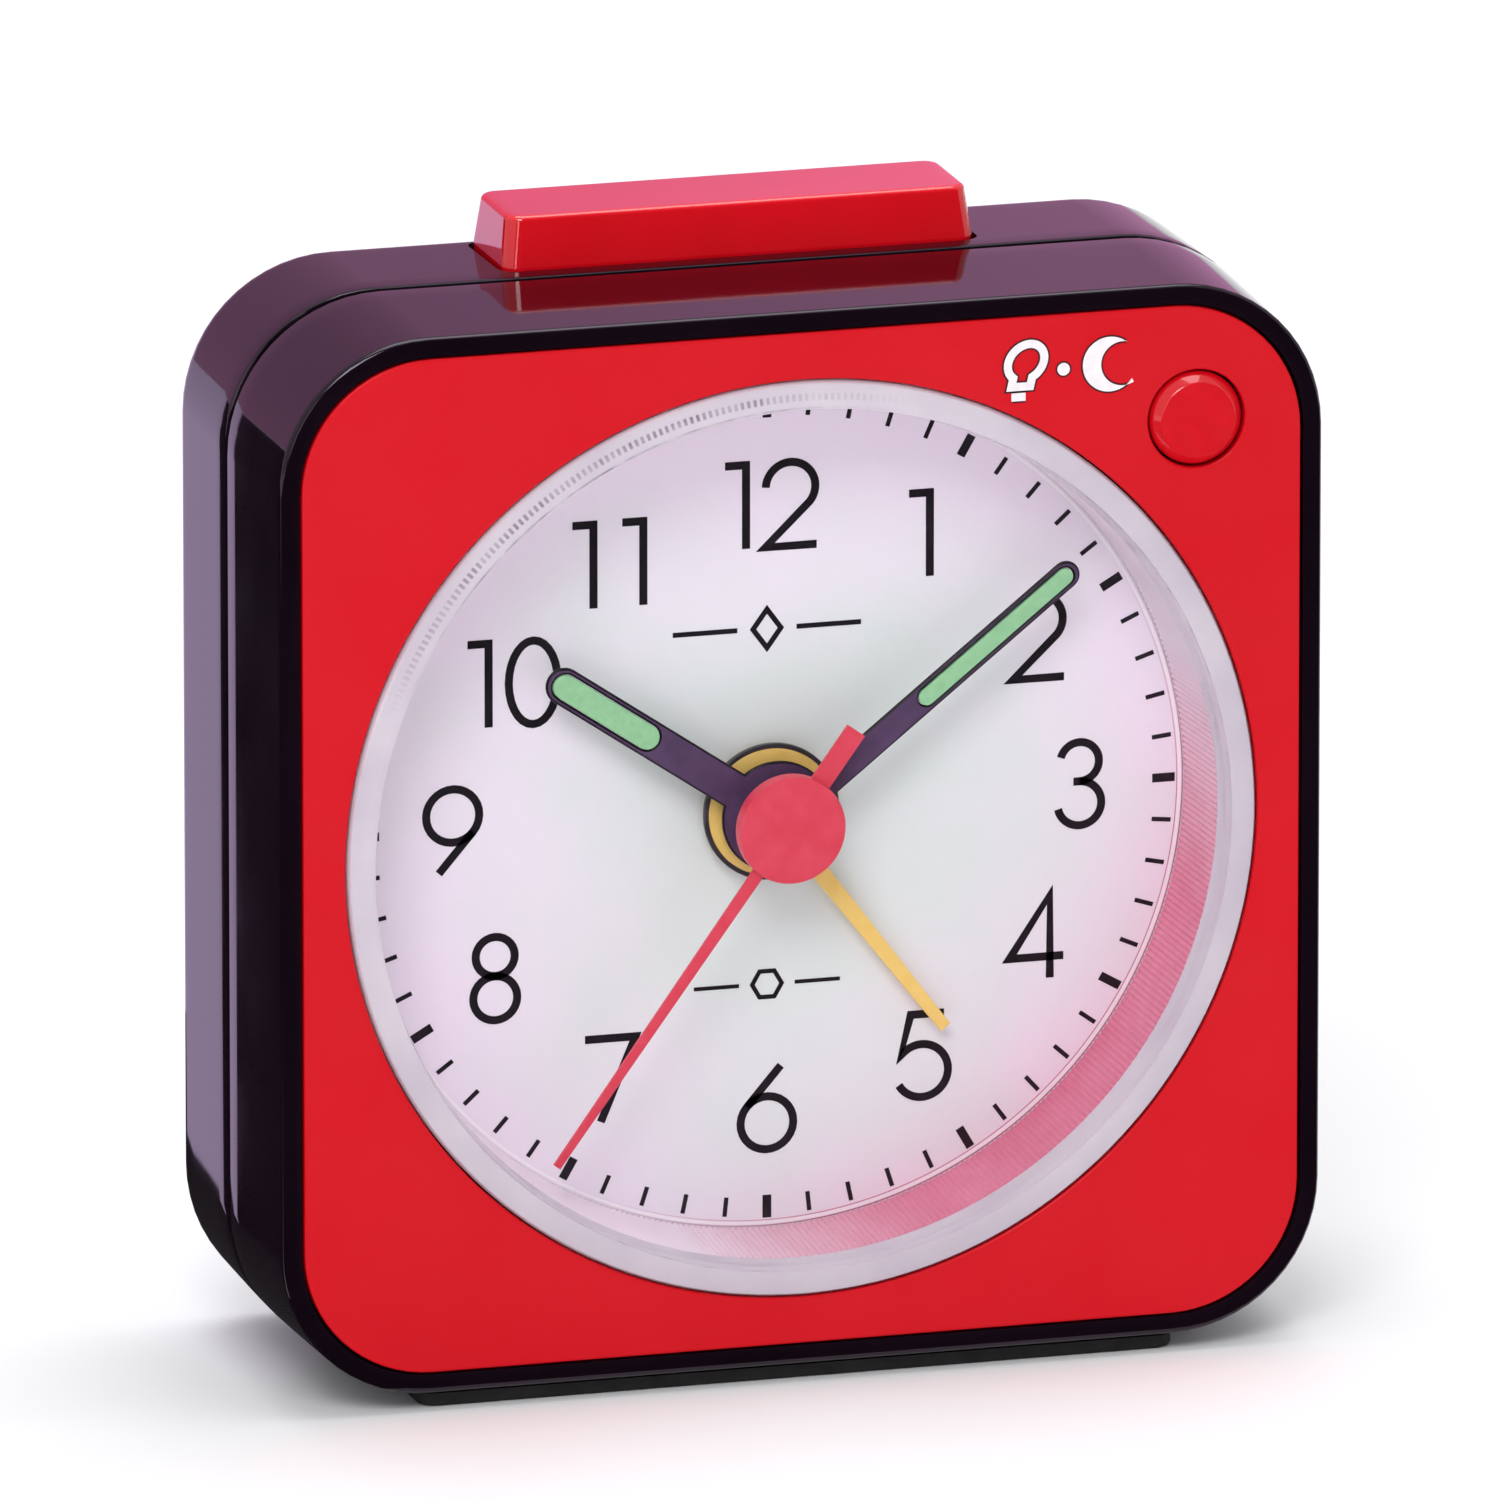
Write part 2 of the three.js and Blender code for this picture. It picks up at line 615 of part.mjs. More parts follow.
const CENTER_AXIS = [0, 0];
const THIRD_ANGLE = 45 * DEGREE;
const THIRD_AXIS = polar(centres(CENTER_PAIR), THIRD_ANGLE);
const INTERMEDIATE_ANGLE = -45 * DEGREE;
const INTERMEDIATE_AXIS = polar(centres(SECOND_PAIR), INTERMEDIATE_ANGLE);
const ROTOR_ANGLE = 265 * DEGREE;
const ROTOR_AXIS = polar(centres(INTERMEDIATE_PAIR), ROTOR_ANGLE, INTERMEDIATE_AXIS);
const MOTION_ANGLE = 125 * DEGREE;
const MOTION_AXIS = polar(centres(MINUTE_PAIR), MOTION_ANGLE);
const SETTING_ANGLE = 235 * DEGREE;
const SETTING_AXIS = polar(centres(ALARM_PAIR), SETTING_ANGLE);
const KNOB_AXES = [MOTION_AXIS, SETTING_AXIS];

const wheelOf = (pair, toward, axis) => gear(pair.wheel, pair.module, toward, false, axis);
const pinionOf = (pair, toward, axis) => gear(pair.pinion, pair.module, toward + Math.PI, true, axis);

// An arbor that turns on a thin pivot in each movement plate.
function arbor([x, z]) {
  const [front, back] = [FRONT_PLATE[1] + 0.05, BACK_PLATE[0] - 0.05];
  return turned([
    [0, FRONT_PLATE[0] + 0.2],
    [PIVOT_RADIUS, FRONT_PLATE[0] + 0.2],
    [PIVOT_RADIUS, front],
    [PIVOT_RADIUS + 0.15, front],
    [PIVOT_RADIUS + 0.15, back],
    [PIVOT_RADIUS, back],
    [PIVOT_RADIUS, BACK_PLATE[1] - 0.2],
    [0, BACK_PLATE[1] - 0.2],
  ], TINY, x, z);
}

function thirdWheel() {
  return join(
    arbor(THIRD_AXIS),
    plate(pinionOf(CENTER_PAIR, THIRD_ANGLE, THIRD_AXIS), CENTER_LAYER),
    plate(wheelOf(THIRD_PAIR, THIRD_ANGLE + Math.PI, THIRD_AXIS), THIRD_LAYER),
  );
}

function secondWheel() {
  return join(
    rod(ARBOR_RADIUS, [SECOND_HUB_FRONT + 0.4, BACK_PLATE[1] - 0.2], SMALL),
    plate(pinionOf(THIRD_PAIR, THIRD_ANGLE + Math.PI, CENTER_AXIS), THIRD_LAYER),
    plate(wheelOf(SECOND_PAIR, INTERMEDIATE_ANGLE, CENTER_AXIS), SECOND_LAYER),
  );
}

function intermediateWheel() {
  return join(
    arbor(INTERMEDIATE_AXIS),
    plate(pinionOf(SECOND_PAIR, INTERMEDIATE_ANGLE, INTERMEDIATE_AXIS), SECOND_LAYER),
    plate(wheelOf(INTERMEDIATE_PAIR, ROTOR_ANGLE, INTERMEDIATE_AXIS), INTERMEDIATE_LAYER),
  );
}

function rotorPinion() {
  return join(
    arbor(ROTOR_AXIS),
    plate(pinionOf(INTERMEDIATE_PAIR, ROTOR_ANGLE, ROTOR_AXIS), INTERMEDIATE_LAYER),
  );
}

function centerWheel() {
  const outline = wheelOf(CENTER_PAIR, THIRD_ANGLE, CENTER_AXIS);
  return plate(outline, CENTER_LAYER, [circle(CANNON_TUBE[1] + 0.05, MEDIUM)]);
}

function cannonPinion() {
  const pinion = plate(pinionOf(MINUTE_PAIR, MOTION_ANGLE + Math.PI, CENTER_AXIS), MINUTE_LAYER, [
    circle(CANNON_TUBE[0], MEDIUM),
  ]);
  return join(tube(CANNON_TUBE, [MINUTE_HAND_FRONT - 0.2, CENTER_LAYER[1]], MEDIUM), pinion);
}

// The minute wheel's arbor runs right through the clock to the time setting knob.
function minuteWheel() {
  return join(
    rod(ARBOR_END_RADIUS, [HOUR_LAYER[0] - 0.1, BODY_DEPTH], SMALL, ...MOTION_AXIS),
    plate(wheelOf(MINUTE_PAIR, MOTION_ANGLE + Math.PI, MOTION_AXIS), MINUTE_LAYER),
    plate(pinionOf(HOUR_PAIR, MOTION_ANGLE, MOTION_AXIS), HOUR_LAYER),
  );
}

function hourWheel() {
  const outline = wheelOf(HOUR_PAIR, MOTION_ANGLE, CENTER_AXIS);
  const wheel = plate(outline, HOUR_LAYER, [circle(HOUR_TUBE[0], MEDIUM)]);
  return join(tube(HOUR_TUBE, [HOUR_HAND_FRONT - 0.2, HOUR_LAYER[1]], MEDIUM), wheel);
}

function alarmWheel() {
  const outline = wheelOf(ALARM_PAIR, SETTING_ANGLE, CENTER_AXIS);
  const wheel = plate(outline, ALARM_LAYER, [circle(ALARM_TUBE[0], MEDIUM)]);
  return join(tube(ALARM_TUBE, [ALARM_HAND_FRONT - 0.2, ALARM_LAYER[1]], MEDIUM), wheel);
}

function alarmSettingPinion() {
  return join(
    rod(ARBOR_END_RADIUS, [ALARM_LAYER[0] - 0.1, BODY_DEPTH], SMALL, ...SETTING_AXIS),
    plate(pinionOf(ALARM_PAIR, SETTING_ANGLE, SETTING_AXIS), ALARM_LAYER),
  );
}

// A ribbed knob on a hollow stem, pushed on to its arbor from behind.
function knob([x, z]) {
  const front = BODY_DEPTH + KNOB_GAP;
  const back = front + KNOB_HEIGHT;
  const ribs = gear(KNOB_RIBS, KNOB_RADIUS / (KNOB_RIBS / 2 + 0.6), 0, false, [x, z]);
  const disc = plate(ribs, [front, back]);
  const stem = rod(KNOB_STEM, [BOARD[1] + 0.3, front + 0.5], MEDIUM, x, z);
  return cut(
    join(disc, stem),
    rod(KNOB_BORE, [BOARD[1], BODY_DEPTH + 0.05], SMALL, x, z),
    block([x - 0.35, x + 0.35], [back - 0.4, back + 1], [z + 1.2, z + 4]),
  );
}

// ---------------------------------------------------------------- movement

const PIVOT_AXES = [THIRD_AXIS, INTERMEDIATE_AXIS, ROTOR_AXIS];
const through = ([front, back]) => [front - 0.5, back + 0.5];
const PLATE_OUTLINE = rectangle(-PLATE_HALF_WIDTH, PLATE_HALF_WIDTH, PLATE_BOTTOM, PLATE_TOP);

const COIL_Z = 15;
const COIL_DEPTH = 15.3;
const COIL_ENDS = [-13.1, -3.1];
const ROTOR_HOLE = 2.3;
const MAGNET_RADIUS = 1.8;
const STATOR = [14.35, 14.95];

function frontPlate() {
  const ears = EARS.map(([x, z]) => {
    const reach = [Math.sign(x) * (PLATE_HALF_WIDTH - 1), x].sort((a, b) => a - b);
    return join(
      block(reach, FRONT_PLATE, [z - EAR_WIDTH / 2, z + EAR_WIDTH / 2]),
      rod(EAR_WIDTH / 2, FRONT_PLATE, SMALL, x, z),
    );
  });
  const pillarDepth = [FRONT_PLATE[0], BACK_PLATE[0] - 0.05];
  const pillars = PILLARS.map(([x, z]) => rod(PILLAR_RADIUS, pillarDepth, SMALL, x, z));
  return cut(
    join(plate(PLATE_OUTLINE, FRONT_PLATE), ...ears, ...pillars),
    rod(CANNON_TUBE[1] + 0.25, through(FRONT_PLATE), MEDIUM),
    ...PIVOT_AXES.map(([x, z]) => rod(PIVOT_HOLE, through(FRONT_PLATE), TINY, x, z)),
    ...KNOB_AXES.map(([x, z]) => rod(KNOB_ARBOR_HOLE, through(FRONT_PLATE), SMALL, x, z)),
    ...EARS.map(([x, z]) => rod(SMALL_HOLE, through(FRONT_PLATE), TINY, x, z)),
    ...PLATE_SCREWS.map(([x, z]) => rod(SMALL_HOLE, [PLATE_SCREW_TIP - 0.3, BACK_PLATE[1]], TINY, x, z)),
  );
}

function backPlate() {
  const boardPosts = BOARD_POSTS.map(([x, z]) => rod(1, [BACK_PLATE[0], BOARD[0] - 0.05], SMALL, x, z));
  const hole = through(BACK_PLATE);
  return cut(
    join(plate(PLATE_OUTLINE, BACK_PLATE), ...boardPosts),
    plate(rectangle(COIL_ENDS[0] - 0.4, COIL_ENDS[1] + 0.4, COIL_Z - 2.7, COIL_Z + 2.7), hole),
    rod(ARBOR_RADIUS + 0.12, hole, SMALL),
    ...PIVOT_AXES.map(([x, z]) => rod(PIVOT_HOLE, hole, TINY, x, z)),
    ...KNOB_AXES.map(([x, z]) => rod(KNOB_ARBOR_HOLE, hole, SMALL, x, z)),
    ...PLATE_SCREWS.map(([x, z]) => rod(SMALL_HOLE, hole, TINY, x, z)),
  );
}

function circuitBoard() {
  const outline = outlineOf([[-16, -12.5], [16, -12.5], [16, 19.5], [-2.5, 19.5], [-2.5, 11.5], [-16, 11.5]]);
  return plate(outline, BOARD, KNOB_AXES.map(([x, z]) => circle(1.1, SMALL, x, z)));
}

// Two arms carry the field of the coil to the ring round the rotor.
function stator() {
  const outline = outlineOf([
    [-16.2, 2.8], [-9.4, 2.8], [-9.4, 9.2], [-1.4, 9.2], [-1.4, 16.2], [-2.8, 16.2], [-2.8, 10.8],
    [-10.2, 10.8], [-10.2, 9.8], [-13.4, 9.8], [-13.4, 16.2], [-14.6, 16.2], [-14.6, 9.8], [-16.2, 9.8],
  ]);
  return plate(outline, STATOR, [circle(ROTOR_HOLE, MEDIUM, ...ROTOR_AXIS)]);
}

function coilBobbin() {
  const [left, right] = COIL_ENDS;
  return turnedAlongX([
    [0.8, left], [2.3, left], [2.3, left + 0.5], [1.1, left + 0.5],
    [1.1, right - 0.5], [2.3, right - 0.5], [2.3, right], [0.8, right], [0.8, left],
  ], MEDIUM, COIL_DEPTH, COIL_Z);
}

function coilWinding() {
  const [left, right] = [COIL_ENDS[0] + 0.6, COIL_ENDS[1] - 0.6];
  const profile = [[1.2, left], [2.1, left], [2.1, right], [1.2, right], [1.2, left]];
  return turnedAlongX(profile, MEDIUM, COIL_DEPTH, COIL_Z);
}

// ---------------------------------------------------------------- hands

// A hand stamped from sheet: a round hub on its tube and a blade along its clock angle, with a window.
function hand([, tubeRadius], blade, front, angle, opening) {
  const layer = [front, front + HAND_THICKNESS];
  const outline = roundedBar(0, blade.end, blade.halfWidth, angle, opening ? 5 : 2);
  const tools = [rod(tubeRadius + 0.05, through(layer), MEDIUM)];
  if (opening) {
    const { start, end, halfWidth } = opening;
    tools.push(plate(roundedBar(start, end, halfWidth, angle), through(layer)));
  }
  return cut(join(plate(circle(blade.hub, MEDIUM), layer), plate(outline, layer)), ...tools);
}

// The lume fills the window of its hand.
function lume({ start, end, halfWidth }, front, angle) {
  const outline = roundedBar(start, end, halfWidth - LUME_GAP, angle);
  return plate(outline, [front - LUME_PROUD, front + HAND_THICKNESS]);
}

function secondHand() {
  const angle = SECOND_ANGLE * DEGREE;
  const layer = [SECOND_HAND_FRONT, SECOND_HAND_FRONT + HAND_THICKNESS];
  const hub = turned([
    [0, SECOND_HUB_FRONT],
    [SECOND_HUB - 0.25, SECOND_HUB_FRONT],
    [SECOND_HUB, SECOND_HUB_FRONT + 0.25],
    [SECOND_HUB, layer[1]],
    [0, layer[1]],
  ], MEDIUM);
  const tip = plate(roundedBar(2, SECOND_TIP.end, SECOND_TIP.halfWidth, angle, 2), layer);
  const tail = plate(roundedBar(2, SECOND_TAIL.end, SECOND_TAIL.halfWidth, angle + Math.PI, 4), layer);
  const socket = rod(ARBOR_RADIUS + 0.05, [SECOND_HUB_FRONT + 0.35, layer[1] + 1], SMALL);
  return cut(join(hub, tip, tail), socket);
}

// ---------------------------------------------------------------- buttons, springs and contacts

const FLANGE_TOP = HALF_HEIGHT - WALL - FIT_GAP;
const FLANGE_BOTTOM = FLANGE_TOP - FLANGE_HEIGHT;
const SPRING_SEAT_Z = FLANGE_BOTTOM - BAR_SPRING_LENGTH;
const POST_BOTTOM = FLANGE_BOTTOM - BAR_POST_LENGTH;

// The part above the case narrows upwards; below it a flange keeps the bar from coming out.
function snoozeBar() {
  const upper = new THREE.CylinderGeometry(BAR_TOP_SCALE * Math.SQRT1_2, Math.SQRT1_2, BAR_HEIGHT, 4);
  upper.rotateY(Math.PI / 4);
  upper.rotateX(Math.PI / 2);
  upper.scale(BAR_WIDTH, BAR_DEPTH, 1);
  upper.translate(0, BAR_MIDDLE, HALF_HEIGHT + BAR_HEIGHT / 2);
  const halfWidth = BAR_WIDTH / 2;
  const halfDepth = BAR_DEPTH / 2;
  const neck = block(
    [-halfWidth, halfWidth],
    [BAR_MIDDLE - halfDepth, BAR_MIDDLE + halfDepth],
    [FLANGE_BOTTOM, HALF_HEIGHT + 0.01],
  );
  const flange = block(
    [-FLANGE_WIDTH / 2, FLANGE_WIDTH / 2],
    [BAR_MIDDLE - FLANGE_DEPTH / 2, BAR_MIDDLE + FLANGE_DEPTH / 2],
    [FLANGE_BOTTOM, FLANGE_TOP],
  );
  const postHalf = BAR_POST_WIDTH / 2;
  const post = block(
    [-postHalf, postHalf],
    [BAR_MIDDLE - postHalf, BAR_MIDDLE + postHalf],
    [POST_BOTTOM, FLANGE_BOTTOM + OVERLAP],
  );
  return join(solid(upper), neck, flange, post);
}

function snoozeSpring(x) {
  const start = SPRING_SEAT_Z + BAR_SPRING_WIRE + 0.05;
  const rise = BAR_SPRING_LENGTH - 2 * (BAR_SPRING_WIRE + 0.05);
  const curve = new Helix(BAR_SPRING_RADIUS, rise, 3, (across, back, along) =>
    new THREE.Vector3(x + across, BAR_MIDDLE + back, start + along));
  return wire(curve, BAR_SPRING_WIRE, 27);
}

// A springy strip on the circuit board, which the bar's post pushes down.
function snoozeContact() {
  const top = POST_BOTTOM - BAR_TRAVEL - 0.1;
  const strip = block([-1.5, 1.5], [BAR_MIDDLE - 1.5, BOARD[0] - 0.1], [top - 0.3, top]);
  const leg = block([-1.5, 1.5], [BOARD[0] - 0.4, BOARD[0] - 0.1], [PLATE_TOP - 2.5, top - 0.1]);
  return join(strip, leg);
}

function lightButton() {
  return turned([
    [0, -LIGHT_PROUD],
    [LIGHT_RADIUS - 0.35, -LIGHT_PROUD],
    [LIGHT_RADIUS, -LIGHT_PROUD + 0.3],
    [LIGHT_RADIUS, LEDGE_FRONT - LIGHT_TRAVEL - FIT_GAP],
    [LIGHT_STEM, LEDGE_FRONT - LIGHT_TRAVEL - FIT_GAP],
    [LIGHT_STEM, LIGHT_STEM_END],
    [0, LIGHT_STEM_END],
  ], MEDIUM, LIGHT_X, LIGHT_Z);
}

function lightContact() {
  const layer = [LEAF_DEPTH + 0.02, LEAF_DEPTH + 0.02 + LEAF_THICKNESS];
  return block([LIGHT_X - LEAF_REACH - 1, LIGHT_X + 1], layer, [LIGHT_Z - 0.9, LIGHT_Z + 0.9]);
}

function dialLamp() {
  return turned([[0, 3.3], [1, 3.3], [1, 5.6], [0.7, 6.4], [0, 6.8]], SMALL, LAMP_X, LAMP_Z);
}

function alarmSwitch() {
  const x = SWITCH_X - SWITCH_TRAVEL / 2;
  const button = block(
    [x - SWITCH_WIDTH / 2, x + SWITCH_WIDTH / 2],
    [SLIDER_BACK - OVERLAP, BODY_DEPTH + SWITCH_PROUD],
    [SWITCH_Z - SWITCH_HEIGHT / 2, SWITCH_Z + SWITCH_HEIGHT / 2],
  );
  const slider = block(
    [x - SLIDER_WIDTH / 2, x + SLIDER_WIDTH / 2],
    [BOARD[1] + 0.3, SLIDER_BACK],
    [SWITCH_Z - SLIDER_HEIGHT / 2, SWITCH_Z + SLIDER_HEIGHT / 2],
  );
  return join(button, slider);
}

// ---------------------------------------------------------------- battery and its contacts

function battery() {
  const right = CELL_LEFT + CELL_LENGTH;
  return turnedAlongX([
    [0, CELL_LEFT],
    [CELL_RADIUS - 0.3, CELL_LEFT],
    [CELL_RADIUS, CELL_LEFT + 0.3],
    [CELL_RADIUS, right - NUB_HEIGHT - 0.3],
    [CELL_RADIUS - 0.3, right - NUB_HEIGHT],
    [NUB_RADIUS, right - NUB_HEIGHT],
    [NUB_RADIUS, right],
    [0, right],
  ], MEDIUM, CELL_DEPTH, CELL_Z);
}

function contactPlate(left, right) {
  return block([left, right], [CELL_DEPTH - 2.9, CELL_DEPTH + 2.9], [CELL_Z - 3.4, CELL_Z + 3.4]);
}

function batterySpring() {
  const curve = new Helix(2.2, CELL_LEFT - 0.5 - SPRING_LEFT, 2.5, (across, back, along) =>
    new THREE.Vector3(SPRING_LEFT + 0.1 + along, CELL_DEPTH + back, CELL_Z + across));
  return join(contactPlate(SPRING_LEFT - 0.2, SPRING_LEFT + 0.2), wire(curve, 0.3, 24));
}

// ---------------------------------------------------------------- the clock

add('front_bezel', frontBezel(), CASE_BLACK);
add('front_panel', frontPanel(), PANEL_RED);
add('crystal', crystal(), CLEAR);
add('dial_ring', dialRing(), RING_PINK);
add('dial', dial(), DIAL_WHITE);
add('rear_shell', rearShell(), CASE_BLACK);
add('foot_front', foot(FOOT_FRONT), BLACK_RUBBER);
add('foot_rear', foot(FOOT_REAR), BLACK_RUBBER);
add('battery_door', batteryDoor(), BLACK_PLASTIC);
const caseScrew = (place) =>
  screw(place, SCREW_HEAD, SCREW_HEAD_HEIGHT, SCREW_SHANK, BACK_WALL_INNER + 0.2, SCREW_TIP);
CASE_SCREWS.forEach((place, i) => {
  add(`case_screw_${i + 1}`, caseScrew(place), STEEL);
});

add('snooze_bar', snoozeBar(), BAR_RED);
[-1, 1].forEach((side, i) => add(`snooze_spring_${i + 1}`, snoozeSpring(side * BAR_SPRING_X), STEEL));
add('snooze_contact', snoozeContact(), YELLOW_BRASS);
add('light_button', lightButton(), PANEL_RED);
add('light_contact', lightContact(), YELLOW_BRASS);
add('dial_lamp', dialLamp(), WHITE_PLASTIC);
add('alarm_switch', alarmSwitch(), BLACK_PLASTIC);
add('time_setting_knob', knob(MOTION_AXIS), BLACK_PLASTIC);
add('alarm_setting_knob', knob(SETTING_AXIS), BLACK_PLASTIC);

add('movement_front_plate', frontPlate(), WHITE_PLASTIC);
add('movement_back_plate', backPlate(), WHITE_PLASTIC);
const smallScrew = (place, head, tip) => screw(place, SMALL_HEAD, SMALL_HEAD_HEIGHT, SMALL_SHANK, head, tip);
PLATE_SCREWS.forEach((place, i) => {
  add(`plate_screw_${i + 1}`, smallScrew(place, BACK_PLATE[1] + 0.05, PLATE_SCREW_TIP), STEEL);
});
EARS.forEach((place, i) => {
  add(`movement_screw_${i + 1}`, smallScrew(place, FRONT_PLATE[1] + 0.05, EAR_SCREW_TIP), STEEL);
});
add('circuit_board', circuitBoard(), BOARD_GREEN);
const can = [[0, -3], [0.5, -3], [0.5, 3], [0, 3]];
add('quartz_can', turnedAlongX(can, SMALL, BOARD[1] + 0.55, 4), STEEL);
add('clock_chip', block([-9, -5], [BOARD[1] + 0.02, BOARD[1] + 0.8], [2, 6]), BLACK_PLASTIC);
add('buzzer', rod(BUZZER_RADIUS, BUZZER_LAYER, MEDIUM, BUZZER_X, BUZZER_Z), YELLOW_BRASS);

add('stator', stator(), IRON);
const coreDepth = [STATOR[1] + 0.03, STATOR[1] + 0.63];
add('coil_core', block([-14.6, -1.4], coreDepth, [COIL_Z - 0.45, COIL_Z + 0.45]), IRON);
add('coil_bobbin', coilBobbin(), WHITE_PLASTIC);
add('coil_winding', coilWinding(), COPPER);
add('rotor_pinion', rotorPinion(), WHITE_PLASTIC);
add('rotor_magnet', tube([0.55, MAGNET_RADIUS], [13.9, 15.3], MEDIUM, ...ROTOR_AXIS), IRON);
add('intermediate_wheel', intermediateWheel(), WHITE_PLASTIC);
add('second_wheel', secondWheel(), WHITE_PLASTIC);
add('third_wheel', thirdWheel(), WHITE_PLASTIC);
add('center_wheel', centerWheel(), YELLOW_BRASS);
add('cannon_pinion', cannonPinion(), WHITE_PLASTIC);
add('minute_wheel', minuteWheel(), WHITE_PLASTIC);
add('hour_wheel', hourWheel(), WHITE_PLASTIC);
add('alarm_wheel', alarmWheel(), WHITE_PLASTIC);
add('alarm_setting_pinion', alarmSettingPinion(), WHITE_PLASTIC);

const hourAngle = HOUR_ANGLE * DEGREE;
const minuteAngle = MINUTE_ANGLE * DEGREE;
add('alarm_hand', hand(ALARM_TUBE, ALARM_BLADE, ALARM_HAND_FRONT, ALARM_ANGLE * DEGREE), HAND_YELLOW);
add('hour_hand', hand(HOUR_TUBE, HOUR_BLADE, HOUR_HAND_FRONT, hourAngle, HOUR_WINDOW), HAND_BLACK);
add('hour_hand_lume', lume(HOUR_WINDOW, HOUR_HAND_FRONT, hourAngle), LUME);
const minuteHand = hand(CANNON_TUBE, MINUTE_BLADE, MINUTE_HAND_FRONT, minuteAngle, MINUTE_WINDOW);
add('minute_hand', minuteHand, HAND_BLACK);
add('minute_hand_lume', lume(MINUTE_WINDOW, MINUTE_HAND_FRONT, minuteAngle), LUME);
add('second_hand', secondHand(), HAND_RED);

add('battery', battery(), { color: 0x3c6ea5, roughness: 0.35 });
add('battery_spring', batterySpring(), STEEL);
const cellRight = CELL_LEFT + CELL_LENGTH;
add('battery_contact', contactPlate(cellRight + 0.2, cellRight + 0.6), STEEL);

// Stand the clock on its feet, with the origin in the middle of its footprint.
const DEPTH_MIDDLE = (BODY_DEPTH + KNOB_GAP + KNOB_HEIGHT - CRYSTAL_PROUD) / 2;
clock.position.set(0, -DEPTH_MIDDLE, HALF_HEIGHT + FOOT_HEIGHT);

export default clock;
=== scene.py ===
"""The looks of the travel alarm clock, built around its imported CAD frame.

Shapes are drawn in the clock's own millimetres: x to the right, depth back from the face of the
front panel and z up, all from the line through the hands. settle() carries them into the frame.
"""

import json
import math

import bmesh
import bpy
from mathutils import Matrix, Vector


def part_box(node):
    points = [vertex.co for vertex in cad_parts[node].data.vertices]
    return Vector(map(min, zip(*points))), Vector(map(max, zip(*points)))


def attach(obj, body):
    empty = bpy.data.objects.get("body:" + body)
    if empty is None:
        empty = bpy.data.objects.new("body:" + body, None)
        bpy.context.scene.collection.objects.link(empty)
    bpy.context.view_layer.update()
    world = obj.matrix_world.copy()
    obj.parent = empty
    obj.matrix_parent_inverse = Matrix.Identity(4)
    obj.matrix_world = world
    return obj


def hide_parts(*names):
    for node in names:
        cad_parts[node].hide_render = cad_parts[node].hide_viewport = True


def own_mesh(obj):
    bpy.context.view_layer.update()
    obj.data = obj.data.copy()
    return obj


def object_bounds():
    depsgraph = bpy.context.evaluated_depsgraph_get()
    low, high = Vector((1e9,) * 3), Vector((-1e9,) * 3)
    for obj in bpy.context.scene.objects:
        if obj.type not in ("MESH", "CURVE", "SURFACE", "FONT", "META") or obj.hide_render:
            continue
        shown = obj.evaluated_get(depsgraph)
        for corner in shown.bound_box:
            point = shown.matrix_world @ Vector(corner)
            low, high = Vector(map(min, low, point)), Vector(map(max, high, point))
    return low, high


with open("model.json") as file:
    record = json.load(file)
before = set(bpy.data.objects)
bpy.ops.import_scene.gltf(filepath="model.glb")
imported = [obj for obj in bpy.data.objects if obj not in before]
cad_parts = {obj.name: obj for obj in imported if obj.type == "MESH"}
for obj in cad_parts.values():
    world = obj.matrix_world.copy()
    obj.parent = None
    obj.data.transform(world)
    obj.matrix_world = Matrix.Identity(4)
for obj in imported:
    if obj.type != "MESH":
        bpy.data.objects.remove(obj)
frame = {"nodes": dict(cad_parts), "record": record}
CAD_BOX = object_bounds()
BODIES = frame["record"]["behaviour"]["bodies"]
BODY_OF = {node: body for body, nodes in BODIES.items() for node in nodes}

# ---- the frame's places

MM = 0.001
TURN = 2 * math.pi
_dial_low, _dial_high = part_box("dial")
AXIS_X = (_dial_low.x + _dial_high.x) / 2
AXIS_Z = (_dial_low.z + _dial_high.z) / 2
FACE_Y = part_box("front_panel")[0].y
INTO_FRAME = Matrix.Translation((AXIS_X, FACE_Y, AXIS_Z)) @ Matrix.Scale(MM, 4)


class Extent:
    """A CAD node's box in the clock's millimetres."""

    def __init__(self, node):
        low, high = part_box(node)
        self.left, self.right = ((v - AXIS_X) / MM for v in (low.x, high.x))
        self.front, self.back = ((v - FACE_Y) / MM for v in (low.y, high.y))
        self.bottom, self.top = ((v - AXIS_Z) / MM for v in (low.z, high.z))
        self.x = (self.left + self.right) / 2
        self.depth = (self.front + self.back) / 2
        self.z = (self.bottom + self.top) / 2
        self.width = self.right - self.left
        self.height = self.top - self.bottom
        self.thickness = self.back - self.front


def placed(name, data):
    """A new object in the scene."""
    made = bpy.data.objects.new(name, data)
    bpy.context.scene.collection.objects.link(made)
    return made


# ---- outlines: lists of (x, z)


def circle(radius, segments, x=0.0, z=0.0):
    steps = [TURN * i / segments for i in range(segments)]
    return [(x + radius * math.cos(a), z + radius * math.sin(a)) for a in steps]


def rounded(width, height, radius, x=0.0, z=0.0, steps=12):
    """A rectangle with round corners, anticlockwise."""
    points = []
    for corner, (sx, sz) in enumerate([(1, 1), (-1, 1), (-1, -1), (1, -1)]):
        cx = x + sx * (width / 2 - radius)
        cz = z + sz * (height / 2 - radius)
        for i in range(steps + 1):
            a = (corner + i / steps) * math.pi / 2
            points.append((cx + radius * math.cos(a), cz + radius * math.sin(a)))
    return points


